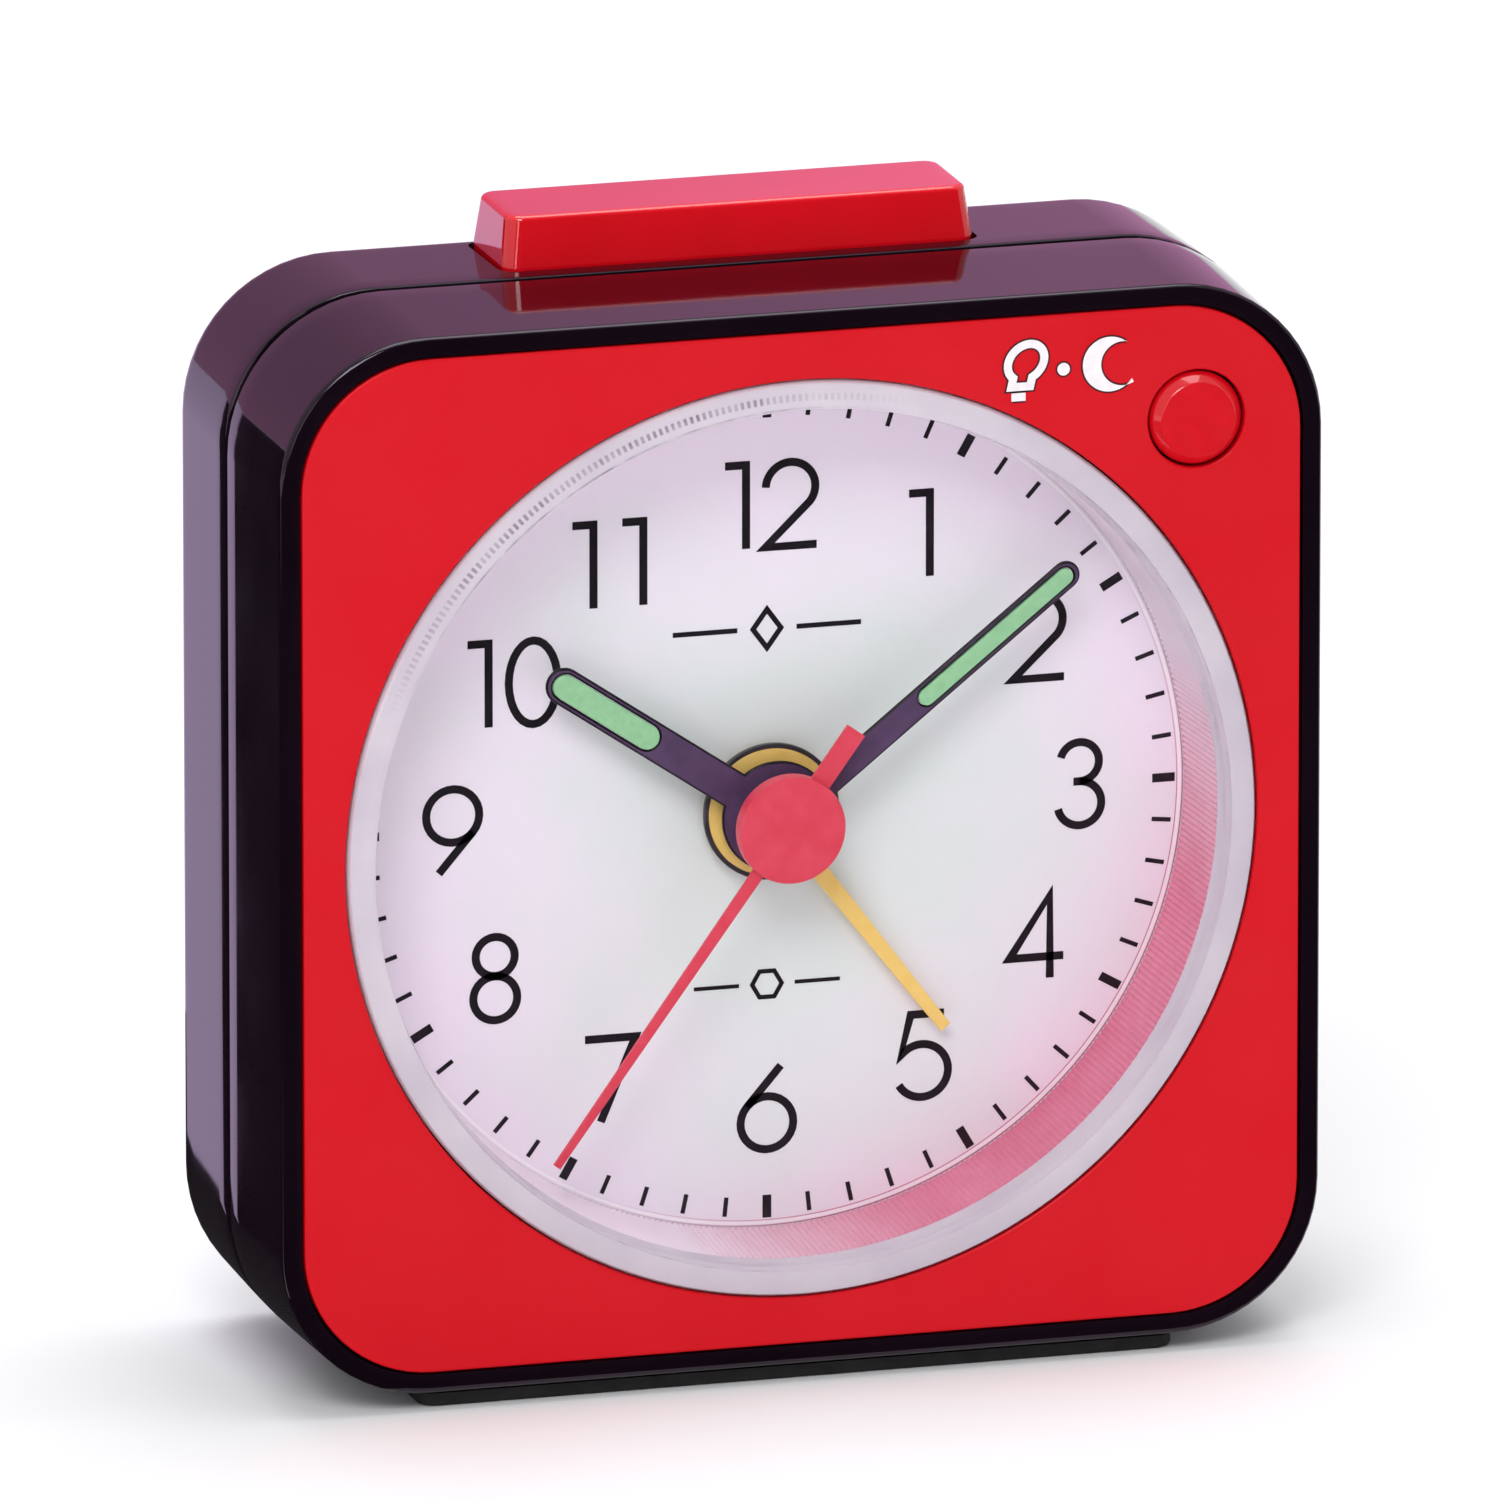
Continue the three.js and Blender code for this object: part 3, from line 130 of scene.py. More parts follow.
def turned_to(points, clock_angle):
    """Points drawn with +z as the hand's own direction, turned clockwise to a clock angle."""
    s, c = math.sin(clock_angle), math.cos(clock_angle)
    return [(x * c + z * s, -x * s + z * c) for x, z in points]


def bar(start, end, half, clock_angle, square=False):
    """A straight bar along a clock angle, with round or square ends."""
    if square:
        points = [(-half, start), (half, start), (half, end), (-half, end)]
    else:
        turns = [math.pi * i / 10 for i in range(11)]
        points = [(half * math.cos(t), end + half * math.sin(t)) for t in turns]
        points += [(-half * math.cos(t), start - half * math.sin(t)) for t in turns]
    return turned_to(points, clock_angle)


def hand_outline(hub, blades):
    """A round hub with blades that grow out of it: one outline, anticlockwise from the first blade.

    Each blade is (clock angle, half width, end, whether its tip is square, half width at the tip).
    """
    blades = sorted(blades, key=lambda blade: -blade[0])
    points = []
    for i, (angle, half, end, square, tip_half) in enumerate(blades):
        lean = math.asin(half / hub)
        if square:
            crown = [(tip_half, end), (-tip_half, end)]
        else:
            turns = [math.pi * k / 14 for k in range(15)]
            crown = [(tip_half * math.cos(t), end + tip_half * math.sin(t)) for t in turns]
        root = hub * math.cos(lean)
        points += turned_to([(half, root), *crown, (-half, root)], angle)
        following, next_half = blades[(i + 1) % len(blades)][:2]
        sweep = (angle - following) % TURN or TURN
        first, last = angle - lean, angle - sweep + math.asin(next_half / hub)
        count = max(3, int(64 * sweep / TURN))
        for k in range(1, count):
            a = first + (last - first) * k / count
            points.append((hub * math.sin(a), hub * math.cos(a)))
    return points


# ---- meshes, in millimetres


def mesh_from(vertices, faces):
    mesh = bpy.data.meshes.new("work")
    mesh.from_pydata([tuple(v) for v in vertices], [], faces)
    return tidied(mesh)


def tidied(mesh):
    """Doubled vertices merged, empty faces removed and normals out."""
    bm = bmesh.new()
    bm.from_mesh(mesh)
    bmesh.ops.remove_doubles(bm, verts=bm.verts, dist=1e-3)
    bmesh.ops.dissolve_degenerate(bm, edges=bm.edges, dist=1e-5)
    bmesh.ops.holes_fill(bm, edges=[edge for edge in bm.edges if edge.is_boundary], sides=4)
    bmesh.ops.recalc_face_normals(bm, faces=bm.faces)
    bm.to_mesh(mesh)
    bm.free()
    return mesh


def loft(loops, wrap=False, caps=True):
    """Loops of equal length joined by quads; wrap joins the last loop to the first."""
    count, rows = len(loops[0]), len(loops)
    faces = []
    for r in range(rows if wrap else rows - 1):
        a, b = r * count, ((r + 1) % rows) * count
        for i in range(count):
            j = (i + 1) % count
            faces.append((a + i, a + j, b + j, b + i))
    if caps and not wrap:
        faces.append(tuple(range(count))[::-1])
        faces.append(tuple((rows - 1) * count + i for i in range(count)))
    return mesh_from([p for loop in loops for p in loop], faces)


def lathe(profile, segments, x=0.0, z=0.0, wrap=False, ripple=None, caps=False):
    """A profile of (radius, depth) turned about an axis that runs back through (x, z)."""
    loops = []
    for radius, depth in profile:
        loop = []
        for i in range(segments):
            a = TURN * i / segments
            r = radius + (ripple(a, radius) if ripple else 0)
            loop.append((x + r * math.cos(a), depth, z + r * math.sin(a)))
        loops.append(loop)
    return loft(loops, wrap=wrap, caps=caps)


def slab(outlines, front, back, edge=0.0, rounding=2):
    """A flat piece between two depths, with holes where outlines lie inside the first, edges rounded."""
    curve = bpy.data.curves.new("work", "CURVE")
    curve.dimensions = "2D"
    curve.fill_mode = "BOTH"
    curve.extrude = (back - front) / 2 - edge
    curve.bevel_depth = edge
    curve.bevel_resolution = rounding
    curve.offset = -edge
    for outline in outlines:
        spline = curve.splines.new("POLY")
        spline.points.add(len(outline) - 1)
        for point, (x, z) in zip(spline.points, outline):
            point.co = (x, z, 0, 1)
        spline.use_cyclic_u = True
    mesh = baked(placed("work", curve))
    bpy.data.curves.remove(curve)
    mesh.transform(Matrix.Translation((0, (front + back) / 2, 0)) @ Matrix.Rotation(math.pi / 2, 4, "X"))
    return tidied(mesh)


def plate(width, height, radius, x, z, front, back, steps, edge=0.0, rounding=2):
    """A slab with rounded corners about (x, z)."""
    return slab([rounded(width, height, radius, x, z, steps)], front, back, edge, rounding)


def baked(holder):
    """The mesh that an object gives once its modifiers are worked out; the object goes."""
    graph = bpy.context.evaluated_depsgraph_get()
    mesh = bpy.data.meshes.new_from_object(holder.evaluated_get(graph))
    bpy.data.objects.remove(holder)
    return mesh


def worked(mesh, kind, **settings):
    """The mesh with one modifier applied."""
    holder = placed("work", mesh)
    modifier = holder.modifiers.new("work", kind)
    for key, value in settings.items():
        setattr(modifier, key, value)
    result = baked(holder)
    bpy.data.meshes.remove(mesh)
    return result


def combined(mesh, operation, *tools):
    """The mesh joined with, or cut by, each tool in turn."""
    for tool in tools:
        holder = placed("tool", tool)
        mesh = worked(mesh, "BOOLEAN", operation=operation, object=holder, solver="EXACT")
        bpy.data.objects.remove(holder)
        bpy.data.meshes.remove(tool)
    return tidied(mesh)


def cut(mesh, *tools):
    return combined(mesh, "DIFFERENCE", *tools)


def union(mesh, *tools):
    return combined(mesh, "UNION", *tools)


def eased(mesh, width, segments, degrees):
    """Edges sharper than an angle rounded off."""
    return tidied(worked(
        mesh, "BEVEL", width=width, segments=segments, limit_method="ANGLE",
        angle_limit=math.radians(degrees), use_clamp_overlap=True, miter_outer="MITER_ARC",
    ))


def merged(*meshes):
    """Several meshes as one, with nothing joined."""
    bm = bmesh.new()
    for mesh in meshes:
        bm.from_mesh(mesh)
        bpy.data.meshes.remove(mesh)
    result = bpy.data.meshes.new("work")
    bm.to_mesh(result)
    bm.free()
    return result


def settle(name, mesh, material, body, replaces=(), sharp=32):
    """The finished piece: smooth but for its sharp edges, put into the frame and riding on its body."""
    bm = bmesh.new()
    bm.from_mesh(mesh)
    limit = math.radians(sharp)
    for face in bm.faces:
        face.smooth = True
    for edge in bm.edges:
        edge.smooth = len(edge.link_faces) == 2 and edge.calc_face_angle(0) < limit
    bm.to_mesh(mesh)
    bm.free()
    kinds = [polygon.material_index for polygon in mesh.polygons]
    mesh = worked(mesh, "WEIGHTED_NORMAL", keep_sharp=True)
    mesh.transform(INTO_FRAME)
    mesh.name = name
    piece = placed(name, mesh)
    mesh.materials.clear()
    for each in material if isinstance(material, (list, tuple)) else [material]:
        mesh.materials.append(each)
    mesh.polygons.foreach_set("material_index", kinds)
    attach(piece, body)
    if replaces:
        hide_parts(*replaces)
    return piece


# ---- materials


def linear(red, green, blue):
    """A colour given as 0 to 255 as a renderer's linear one."""
    out = []
    for v in (red, green, blue):
        v /= 255
        out.append(v / 12.92 if v <= 0.04045 else ((v + 0.055) / 1.055) ** 2.4)
    return (*out, 1.0)


class Surface:
    """A procedural material: colour, roughness and relief, each with its own pattern."""

    def __init__(self, name, **sockets):
        self.material = bpy.data.materials.new(name)
        self.material.use_nodes = True
        self.tree = self.material.node_tree
        self.shader = self.tree.nodes["Principled BSDF"]
        self.output = self.tree.nodes["Material Output"]
        self.place = self.node("ShaderNodeTexCoord").outputs["Object"]
        for key, value in sockets.items():
            self.shader.inputs[key.replace("_", " ")].default_value = value

    def node(self, kind, **settings):
        made = self.tree.nodes.new(kind)
        for key, value in settings.items():
            if key in made.inputs:
                made.inputs[key].default_value = value
            else:
                setattr(made, key, value)
        return made

    def link(self, source, target):
        self.tree.links.new(source, target)

    def from_axis(self, shift=(0, 0)):
        """Where a point lies from the line through the hands, or from a line shifted by millimetres."""
        centre = self.node("ShaderNodeVectorMath", operation="SUBTRACT")
        self.link(self.place, centre.inputs[0])
        centre.inputs[1].default_value = (AXIS_X + shift[0] * MM, FACE_Y, AXIS_Z + shift[1] * MM)
        flat = self.node("ShaderNodeVectorMath", operation="MULTIPLY")
        self.link(centre.outputs[0], flat.inputs[0])
        flat.inputs[1].default_value = (1, 0, 1)
        return flat.outputs[0]

    def stretched(self, scale):
        mapping = self.node("ShaderNodeMapping")
        mapping.inputs["Scale"].default_value = scale
        self.link(self.place, mapping.inputs["Vector"])
        return mapping.outputs["Vector"]

    def noise(self, size, detail=3.0, stretch=(1, 1, 1)):
        """Noise whose grains are about size millimetres across."""
        made = self.node("ShaderNodeTexNoise", Scale=1 / (size * MM), Detail=detail)
        self.link(self.stretched(stretch), made.inputs["Vector"])
        return made.outputs["Fac"]

    def spread(self, value, low, high, start=0.3, end=0.7):
        made = self.node("ShaderNodeMapRange")
        self.link(value, made.inputs["Value"])
        for key, number in zip(("From Min", "From Max", "To Min", "To Max"), (start, end, low, high)):
            made.inputs[key].default_value = number
        return made.outputs["Result"]

    def math(self, operation, *values):
        made = self.node("ShaderNodeMath", operation=operation)
        for target, value in zip(made.inputs, values):
            if isinstance(value, (int, float)):
                target.default_value = value
            else:
                self.link(value, target)
        return made.outputs[0]

    def axes(self, value):
        """The X, Y and Z of a vector."""
        made = self.node("ShaderNodeSeparateXYZ")
        self.link(value, made.inputs[0])
        return made.outputs

    def reach(self, shift=(0, 0)):
        """How far a point lies from the line through the hands."""
        made = self.node("ShaderNodeVectorMath", operation="LENGTH")
        self.link(self.from_axis(shift), made.inputs[0])
        return made.outputs["Value"]

    def band(self, start, end, soft=0.02):
        """One between two distances in millimetres from the line through the hands, nought elsewhere."""
        reach = self.reach()
        rising = self.spread(reach, 0, 1, (start - soft) * MM, (start + soft) * MM)
        falling = self.spread(reach, 1, 0, (end - soft) * MM, (end + soft) * MM)
        return self.math("MULTIPLY", rising, falling)

    def toward(self, degrees, radius, start, end):
        """Rises from nought to one over two shares of a radius, seen along a direction on the dial."""
        made = self.node("ShaderNodeVectorMath", operation="DOT_PRODUCT")
        self.link(self.from_axis(), made.inputs[0])
        lean = math.radians(degrees)
        made.inputs[1].default_value = (math.cos(lean), 0, math.sin(lean))
        return self.spread(made.outputs["Value"], 0, 1, start * radius * MM, end * radius * MM)

    def blended(self, share, first, second):
        """A colour between two, each 0 to 255, linear with an alpha, or the output of a node."""
        made = self.node("ShaderNodeMix", data_type="RGBA")
        self.link(share, made.inputs[0])
        for target, value in ((made.inputs[6], first), (made.inputs[7], second)):
            if isinstance(value, tuple):
                target.default_value = value if len(value) == 4 else linear(*value)
            else:
                self.link(value, target)
        return made.outputs[2]

    def patches(self, size, first, second, stretch=(1, 1, 1)):
        """Two colours in soft patches about size millimetres across."""
        return self.blended(self.spread(self.noise(size, 3.0, stretch), 0, 1), first, second)

    def worn(self, base, edge, amount):
        """A colour that turns to another along the sharp outer edges."""
        corner = self.node("ShaderNodeNewGeometry").outputs["Pointiness"]
        share = self.spread(corner, 0, amount, 0.52, 0.62)
        return self.blended(share, base, edge)

    def rough(self, low, high, size, stretch=(1, 1, 1)):
        value = self.spread(self.noise(size, 2.0, stretch), low, high)
        self.link(value, self.shader.inputs["Roughness"])

    def relief(self, size, height, strength, stretch=(1, 1, 1), pattern=None):
        """Fine bumps about height millimetres high."""
        bump = self.node("ShaderNodeBump", Strength=strength, Distance=height * MM)
        self.link(pattern or self.noise(size, 2.0, stretch), bump.inputs["Height"])
        self.link(bump.outputs["Normal"], self.shader.inputs["Normal"])
        if self.shader.inputs["Coat Weight"].default_value:
            self.link(bump.outputs["Normal"], self.shader.inputs["Coat Normal"])

    def finished(self, colour, rough, relief, pattern=None):
        """The material, once its colour, roughness and relief are in place."""
        self.link(colour, self.shader.inputs["Base Color"])
        self.rough(*rough)
        self.relief(*relief, pattern=pattern)
        return self.material


def plain(name, first, second, size, rough, relief, worn=None, stretch=(1, 1, 1), **sockets):
    """Patches of two colours, uneven roughness and fine relief.

    rough is (low, high, grain), relief (grain, height, strength) and worn (edge colour, amount).
    """
    surface = Surface(name, **sockets)
    base = surface.patches(size, first, second, stretch)
    if worn:
        base = surface.worn(base, *worn)
    return surface.finished(base, (*rough, stretch), (*relief, stretch))


def common(name, first, second, size, rough, relief, metal=0.0, stretch=(1, 1, 1)):
    """A plain material in its shortest form: rough is (low, high) and relief (grain, height)."""
    rough, relief = (*rough, size * 0.6), (*relief, 0.6)
    return plain(name, first, second, size, rough, relief, None, stretch, Metallic=metal)


def crystal_clear():
    """A clear pane: what is behind shows through, and the light is mirrored more at a glance."""
    surface = Surface("crystal_clear")
    clear = surface.node("ShaderNodeBsdfTransparent")
    clear.inputs["Color"].default_value = (0.995, 0.99, 0.995, 1)
    gloss = surface.node("ShaderNodeBsdfGlossy")
    smear = surface.spread(surface.noise(12.0), 0.01, 0.05)
    surface.link(smear, gloss.inputs["Roughness"])
    facing = surface.node("ShaderNodeLayerWeight", Blend=0.5).outputs["Facing"]
    glance = surface.math("POWER", facing, 5.0)
    blend = surface.node("ShaderNodeMixShader")
    surface.link(surface.spread(glance, 0.012, 0.5, 0, 1), blend.inputs[0])
    surface.link(clear.outputs[0], blend.inputs[1])
    surface.link(gloss.outputs[0], blend.inputs[2])
    surface.link(blend.outputs[0], surface.output.inputs["Surface"])
    surface.tree.nodes.remove(surface.shader)
    return surface.material


def crystal_rim():
    """The thick moulded rim scatters light, so it looks milky; the reeded ring seen through it is painted on
    at the upper left, as dark reeds and a dark line.
    """
    surface = Surface("crystal_rim", IOR=1.47, Transmission_Weight=0.3, Coat_Weight=0.3)
    milk = surface.patches(5.0, (230, 218, 232), (242, 232, 242))
    radius = Extent("crystal").width / 2
    split = surface.axes(surface.from_axis())
    angle = surface.math("ARCTAN2", split["Z"], split["X"])
    # Painted view of the reeded ring through the rim: dark reeds, at the upper left only.
    reeds = surface.spread(surface.math("SINE", surface.math("MULTIPLY", angle, 430)), 0, 1, -0.3, 0.3)
    upper_left = surface.toward(118, radius, 0.72, 0.93)
    painted_reed_view_patch = surface.math("MULTIPLY", upper_left, surface.spread(surface.noise(1.6), 0.2, 0.9))
    shown = surface.math("MULTIPLY", surface.band(radius - 1.0, radius - 0.62, 0.04), painted_reed_view_patch)
    milk = surface.blended(surface.math("MULTIPLY", reeds, shown), milk, (140, 124, 144))
    # A painted dark line, more of the reeds seen through the rim, at the upper left only.
    line = surface.math("MULTIPLY", surface.band(radius - 1.44, radius - 1.37), upper_left)
    line = surface.math("MULTIPLY", line, surface.spread(surface.noise(0.9), 0, 0.8))
    colour = surface.blended(line, milk, (120, 98, 124))
    return surface.finished(colour, (0.10, 0.22, 3.0), (0.5, 0.0012, 0.3))


def ring_pink():
    """Milky plastic, with a painted reflection of the red panel that turns it pink towards the lower right.
    """
    surface = Surface("ring_pink", IOR=1.47)
    # Painted reflection of the red panel, strongest at the lower right.
    painted_red_reflection_share = surface.toward(-42, Extent("dial_ring").width / 2, 0.45, 0.86)
    pale = surface.patches(6.0, (236, 222, 233), (243, 230, 240))
    pink = surface.patches(6.0, (228, 124, 154), (236, 144, 172))
    return surface.finished(surface.blended(painted_red_reflection_share, pale, pink), (0.28, 0.42, 2.0), (0.3, 0.004, 0.4))


def dial_paint():
    """Silvery paint that turns lilac towards the rim, with a fine sprayed grain; towards the rim it is also
    painted lighter against the shade of the ring, and its edge carries painted light.
    """
    surface = Surface("dial_paint", IOR=1.45)
    # Towards the rim the paint is also lighter: painted light that offsets the shade of the ring's wall.
    rim = surface.spread(surface.reach((0.5, -1.8)), 0, 1, 0.008, 0.024)
    cloud = surface.spread(surface.noise(9.0, 4.0), -0.35, 0.35)
    share = surface.math("MINIMUM", surface.math("MAXIMUM", surface.math("ADD", rim, cloud), 0), 1)
    paint = surface.blended(share, (228, 237, 234), (247, 236, 249))
    # A painted white highlight ring at the dial's edge, with painted reddish reflections of the panel beside
    # it at the lower right.
    paint = surface.blended(surface.band(23.70, 23.86), paint, (255, 250, 255))
    painted_red_reflection_lines = surface.math("ADD", surface.band(23.6, 23.65), surface.band(23.91, 23.98))
    painted_red_reflection_lines = surface.math("MULTIPLY", painted_red_reflection_lines, surface.toward(-42, 23.5, 0.3, 0.8))
    colour = surface.blended(painted_red_reflection_lines, paint, (196, 84, 122))
    return surface.finished(colour, (0.42, 0.55, 2.0), (0.09, 0.004, 0.5))


def hand_black():
    """Dark violet faces with nearly black sides."""
    surface = Surface("hand_black", IOR=1.45)
    base = surface.patches(1.2, (80, 58, 92), (94, 70, 106))
    facing = surface.axes(surface.node("ShaderNodeNewGeometry").outputs["Normal"])
    flat = surface.spread(facing["Y"], 1, 0, -0.995, -0.95)
    return surface.finished(surface.blended(flat, (8, 5, 10), base), (0.3, 0.42, 0.8), (0.06, 0.002, 0.5))


def sleeve():
    """The battery's printed sleeve: plain blue with one silver band round the positive end."""
    surface = Surface("battery_sleeve", IOR=1.5)
    cell = Extent("battery")
    band = AXIS_X + (cell.right - 0.28 * cell.width) * MM
    share = surface.spread(surface.axes(surface.place)["X"], 0, 1, band, band + 0.1 * MM)
    blue = surface.patches(5.0, (44, 92, 150), (54, 106, 164))
    surface.link(surface.spread(share, 0.0, 0.9, 0, 1), surface.shader.inputs["Metallic"])
    colour = surface.blended(share, blue, (196, 198, 202))
    return surface.finished(colour, (0.2, 0.34, 3.0), (0.2, 0.004, 0.4))


def winding():
    """Enamelled copper wire in close turns."""
    surface = Surface("copper_winding", Metallic=1.0)
    copper = surface.patches(0.6, (170, 84, 40), (196, 112, 60))
    turns = surface.node("ShaderNodeTexWave", bands_direction="X", Scale=1 / (0.6 * MM), Distortion=0.3)
    surface.link(surface.place, turns.inputs["Vector"])
    return surface.finished(copper, (0.25, 0.4, 0.5), (0.1, 0.03, 0.8), turns.outputs["Fac"])


def board():
    """Solder mask over copper tracks."""
    surface = Surface("board_green", IOR=1.5)
    cells = surface.node("ShaderNodeTexVoronoi", feature="DISTANCE_TO_EDGE", Scale=1 / (2.4 * MM))
    surface.link(surface.place, cells.inputs["Vector"])
    track = surface.spread(cells.outputs["Distance"], 1, 0, 0.05, 0.08)
    colour = surface.blended(track, (24, 88, 46), (48, 124, 66))
    return surface.finished(colour, (0.3, 0.45, 1.5), (0.1, 0.02, 0.6), pattern=track)


CASE = plain(
    "case_black", (13, 5, 13), (19, 8, 18), 9.0,
    (0.035, 0.075, 7.0), (5.0, 0.004, 0.25), ((46, 36, 46), 0.3),
    IOR=1.5, Specular_Tint=(0.92, 0.80, 0.95, 1.0),
)
SATIN = plain(
    "case_satin", (17, 9, 17), (24, 13, 23), 4.0,
    (0.16, 0.26, 3.0), (0.12, 0.003, 0.4), ((60, 52, 60), 0.35), IOR=1.5,
)
RED = plain(
    "panel_red", (0.640, 0.0026, 0.0100, 1), (0.680, 0.0040, 0.0130, 1), 16.0,
    (0.28, 0.36, 5.0), (0.10, 0.001, 0.4), Specular_IOR_Level=0.22,
)
BUTTON = plain(
    "button_red", (0.640, 0.0028, 0.0100, 1), (0.690, 0.0042, 0.0130, 1), 1.5,
    (0.16, 0.26, 1.2), (0.1, 0.002, 0.4),
    Specular_IOR_Level=0.3, Coat_Weight=0.9, Coat_Roughness=0.04,
)
BAR = plain(
    "bar_red", (0.82, 0.0040, 0.011, 1), (0.90, 0.0060, 0.016, 1), 6.0,
    (0.05, 0.11, 4.0), (3.0, 0.004, 0.3), ((248, 74, 96), 0.5),
    IOR=1.49, Transmission_Weight=0.12, Coat_Weight=0.8, Coat_Roughness=0.04,
)
BLACK = plain(
    "black_plastic", (20, 17, 22), (28, 24, 30), 3.0,
    (0.28, 0.42, 1.5), (0.12, 0.01, 0.6), ((96, 92, 98), 0.5), IOR=1.47,
)
CLEAR = crystal_clear()
RIM = crystal_rim()
RING = ring_pink()
DIAL = dial_paint()
HAND_BLACK = hand_black()
SLEEVE = sleeve()
WINDING = winding()
BOARD = board()
PRINT = common("print_dark", (20, 13, 24), (30, 20, 34), 0.8, (0.5, 0.62), (0.08, 0.004))
PRINT_WHITE = common("print_white", (240, 232, 236), (252, 246, 250), 0.6, (0.35, 0.5), (0.1, 0.004))
# Dark maroon, a painted shadow round the white legend.
PAINTED_SHADOW_MAROON = common("painted_shadow_maroon", (70, 10, 20), (88, 14, 26), 0.6, (0.4, 0.55), (0.1, 0.004))
LUME = common("lume_green", (142, 200, 148), (156, 212, 162), 0.5, (0.55, 0.7), (0.07, 0.012))
YELLOW = common("hand_yellow", (246, 204, 108), (252, 216, 122), 0.9, (0.35, 0.45), (0.08, 0.004))
HAND_RED = common("hand_red", (224, 58, 80), (232, 70, 92), 0.9, (0.35, 0.45), (0.08, 0.004))
RUBBER = common("black_rubber", (15, 13, 16), (24, 21, 25), 2.0, (0.7, 0.85), (0.15, 0.02))
WHITE = common("white_plastic", (226, 223, 214), (238, 235, 228), 3.0, (0.4, 0.55), (0.2, 0.008))
LAMP = common("lamp_glass", (236, 232, 222), (248, 244, 236), 0.8, (0.1, 0.2), (0.3, 0.004))
BRASS = common("yellow_brass", (196, 156, 72), (212, 176, 96), 1.2, (0.22, 0.38), (0.15, 0.004), 1, (1, 1, 6))
STEEL = common("steel", (176, 178, 182), (198, 200, 204), 0.8, (0.2, 0.36), (0.12, 0.004), 1, (5, 1, 1))
IRON = common("iron", (104, 106, 110), (124, 126, 130), 1.5, (0.4, 0.55), (0.15, 0.01), 1)
CHIP = common("chip_black", (22, 22, 24), (32, 32, 35), 0.8, (0.5, 0.65), (0.08, 0.01))

# ---- case

BEZEL = Extent("front_bezel")
SHELL = Extent("rear_shell")
PANEL = Extent("front_panel")
BUTTON_BOX = Extent("light_button")
CASE_CORNER = 8.7
PANEL_CORNER = 7.3
WALL = 1.6
SEAM = SHELL.front + 1.5
SEAM_GAP = 0.5
EASE = 0.26
BODY_BACK = SHELL.back
FRONT_DRAFT = 0.24
REAR_DRAFT = 0.16
FRONT_EDGE = 0.35
REAR_EDGE = 2.4
LEDGE = 1.5
FIT = 0.15
RECESS = (BEZEL.width - PANEL.width) / 2 - FIT
CRYSTAL_HOLE = 25.6
CRYSTAL_WALL = 1.2
CRYSTAL_WALL_BACK = 8.5
BUTTON_STEM = 1.2
STEM_GAP = 0.25
TONGUE = (WALL + 0.15, WALL + 1.15)
SCREW_POST = 2.4
SCREW_POST_FRONT = 9.3
SCREW_HOLE = 1.2
SCREW_HEAD_HOLE = 2.0
TRAY_FRONT = 12.0
TRAY_ENDS = ((-27.6, -26.6, 3.5), (24.3, 25.3, 6))
TRAY_LID = (0.75, 1.55)
BAR_DEPTH = 15.95
BAR_OPENING = (27.5, 7.8, 1.1)
SWITCH_OPENING = (6.9, 2.7, 0.5)
SOUND_SLOT = (6.0, 0.8, 0.39)
SOUND_PITCH = 1.6
KNOB_HOLE = 1.6


def case_loop(inset, depth):
    """The case's outline at a depth, this far in from its widest."""
    width, height = BEZEL.width - 2 * inset, BEZEL.height - 2 * inset
    outline = rounded(width, height, CASE_CORNER - inset, BEZEL.x, BEZEL.z, 14)
    return [(x, depth, z) for x, z in outline]


def arc(inset, depth, radius, steps):
    """Points (inset, depth) on a rounded edge, from the side round to the front."""
    points = []
    for i in range(steps + 1):
        a = math.radians(90 * i / steps)
        points.append((inset + radius * (1 - math.cos(a)), depth - radius * math.sin(a)))
    return points


def draft(inset, start, end):
    """A drafted side between two depths, as (inset, depth), bowed a little."""
    return [(inset * (i / 6) ** 1.15, start + i / 6 * (end - start)) for i in range(1, 6)]


def bezel():
    """The front half: a drafted side, a rounded front edge and a ledge for the panel."""
    profile = [(WALL, SEAM), (EASE, SEAM), (EASE / 3, SEAM - EASE / 3), (0, SEAM - EASE)]
    profile += draft(FRONT_DRAFT, SEAM - EASE, FRONT_EDGE)
    profile += arc(FRONT_DRAFT, FRONT_EDGE, FRONT_EDGE, 8)
    profile += [(RECESS - 0.1, 0), (RECESS - 0.03, 0.03), (RECESS, 0.1), (RECESS, LEDGE)]
    profile += [(WALL + 1.4, LEDGE), (WALL + 1.4, 2 * LEDGE), (WALL, 2 * LEDGE)]
    shell = loft([case_loop(*p) for p in profile], wrap=True)
    outline = rounded(PANEL.width + FIT, PANEL.height + FIT, PANEL_CORNER, PANEL.x, PANEL.z)
    stem_hole = circle(BUTTON_STEM + STEM_GAP, 48, BUTTON_BOX.x, BUTTON_BOX.z)
    shelf = slab([outline, circle(CRYSTAL_HOLE, 128), stem_hole], LEDGE + 0.01, 2 * LEDGE - 0.01)
    inner, outer = CRYSTAL_HOLE, CRYSTAL_HOLE + CRYSTAL_WALL
    ends = (LEDGE + 0.02, CRYSTAL_WALL_BACK)
    wall = lathe([(inner, ends[0]), (outer, ends[0]), (outer, ends[1]), (inner, ends[1])], 128, wrap=True)
    return merged(shell, shelf, wall)


settle("case_bezel", bezel(), CASE, "case", ["front_bezel"])


def red_panel():
    window = Extent("crystal").width / 2 + 0.6 * FIT
    outline = rounded(PANEL.width, PANEL.height, PANEL_CORNER, PANEL.x, PANEL.z, 16)
    holes = [circle(window, 192), circle(BUTTON_BOX.width / 2 + 0.12, 64, BUTTON_BOX.x, BUTTON_BOX.z)]
    return slab([outline, *holes], PANEL.front, PANEL.back, 0.14, 2)


settle("face_panel", red_panel(), RED, "case", ["front_panel"])


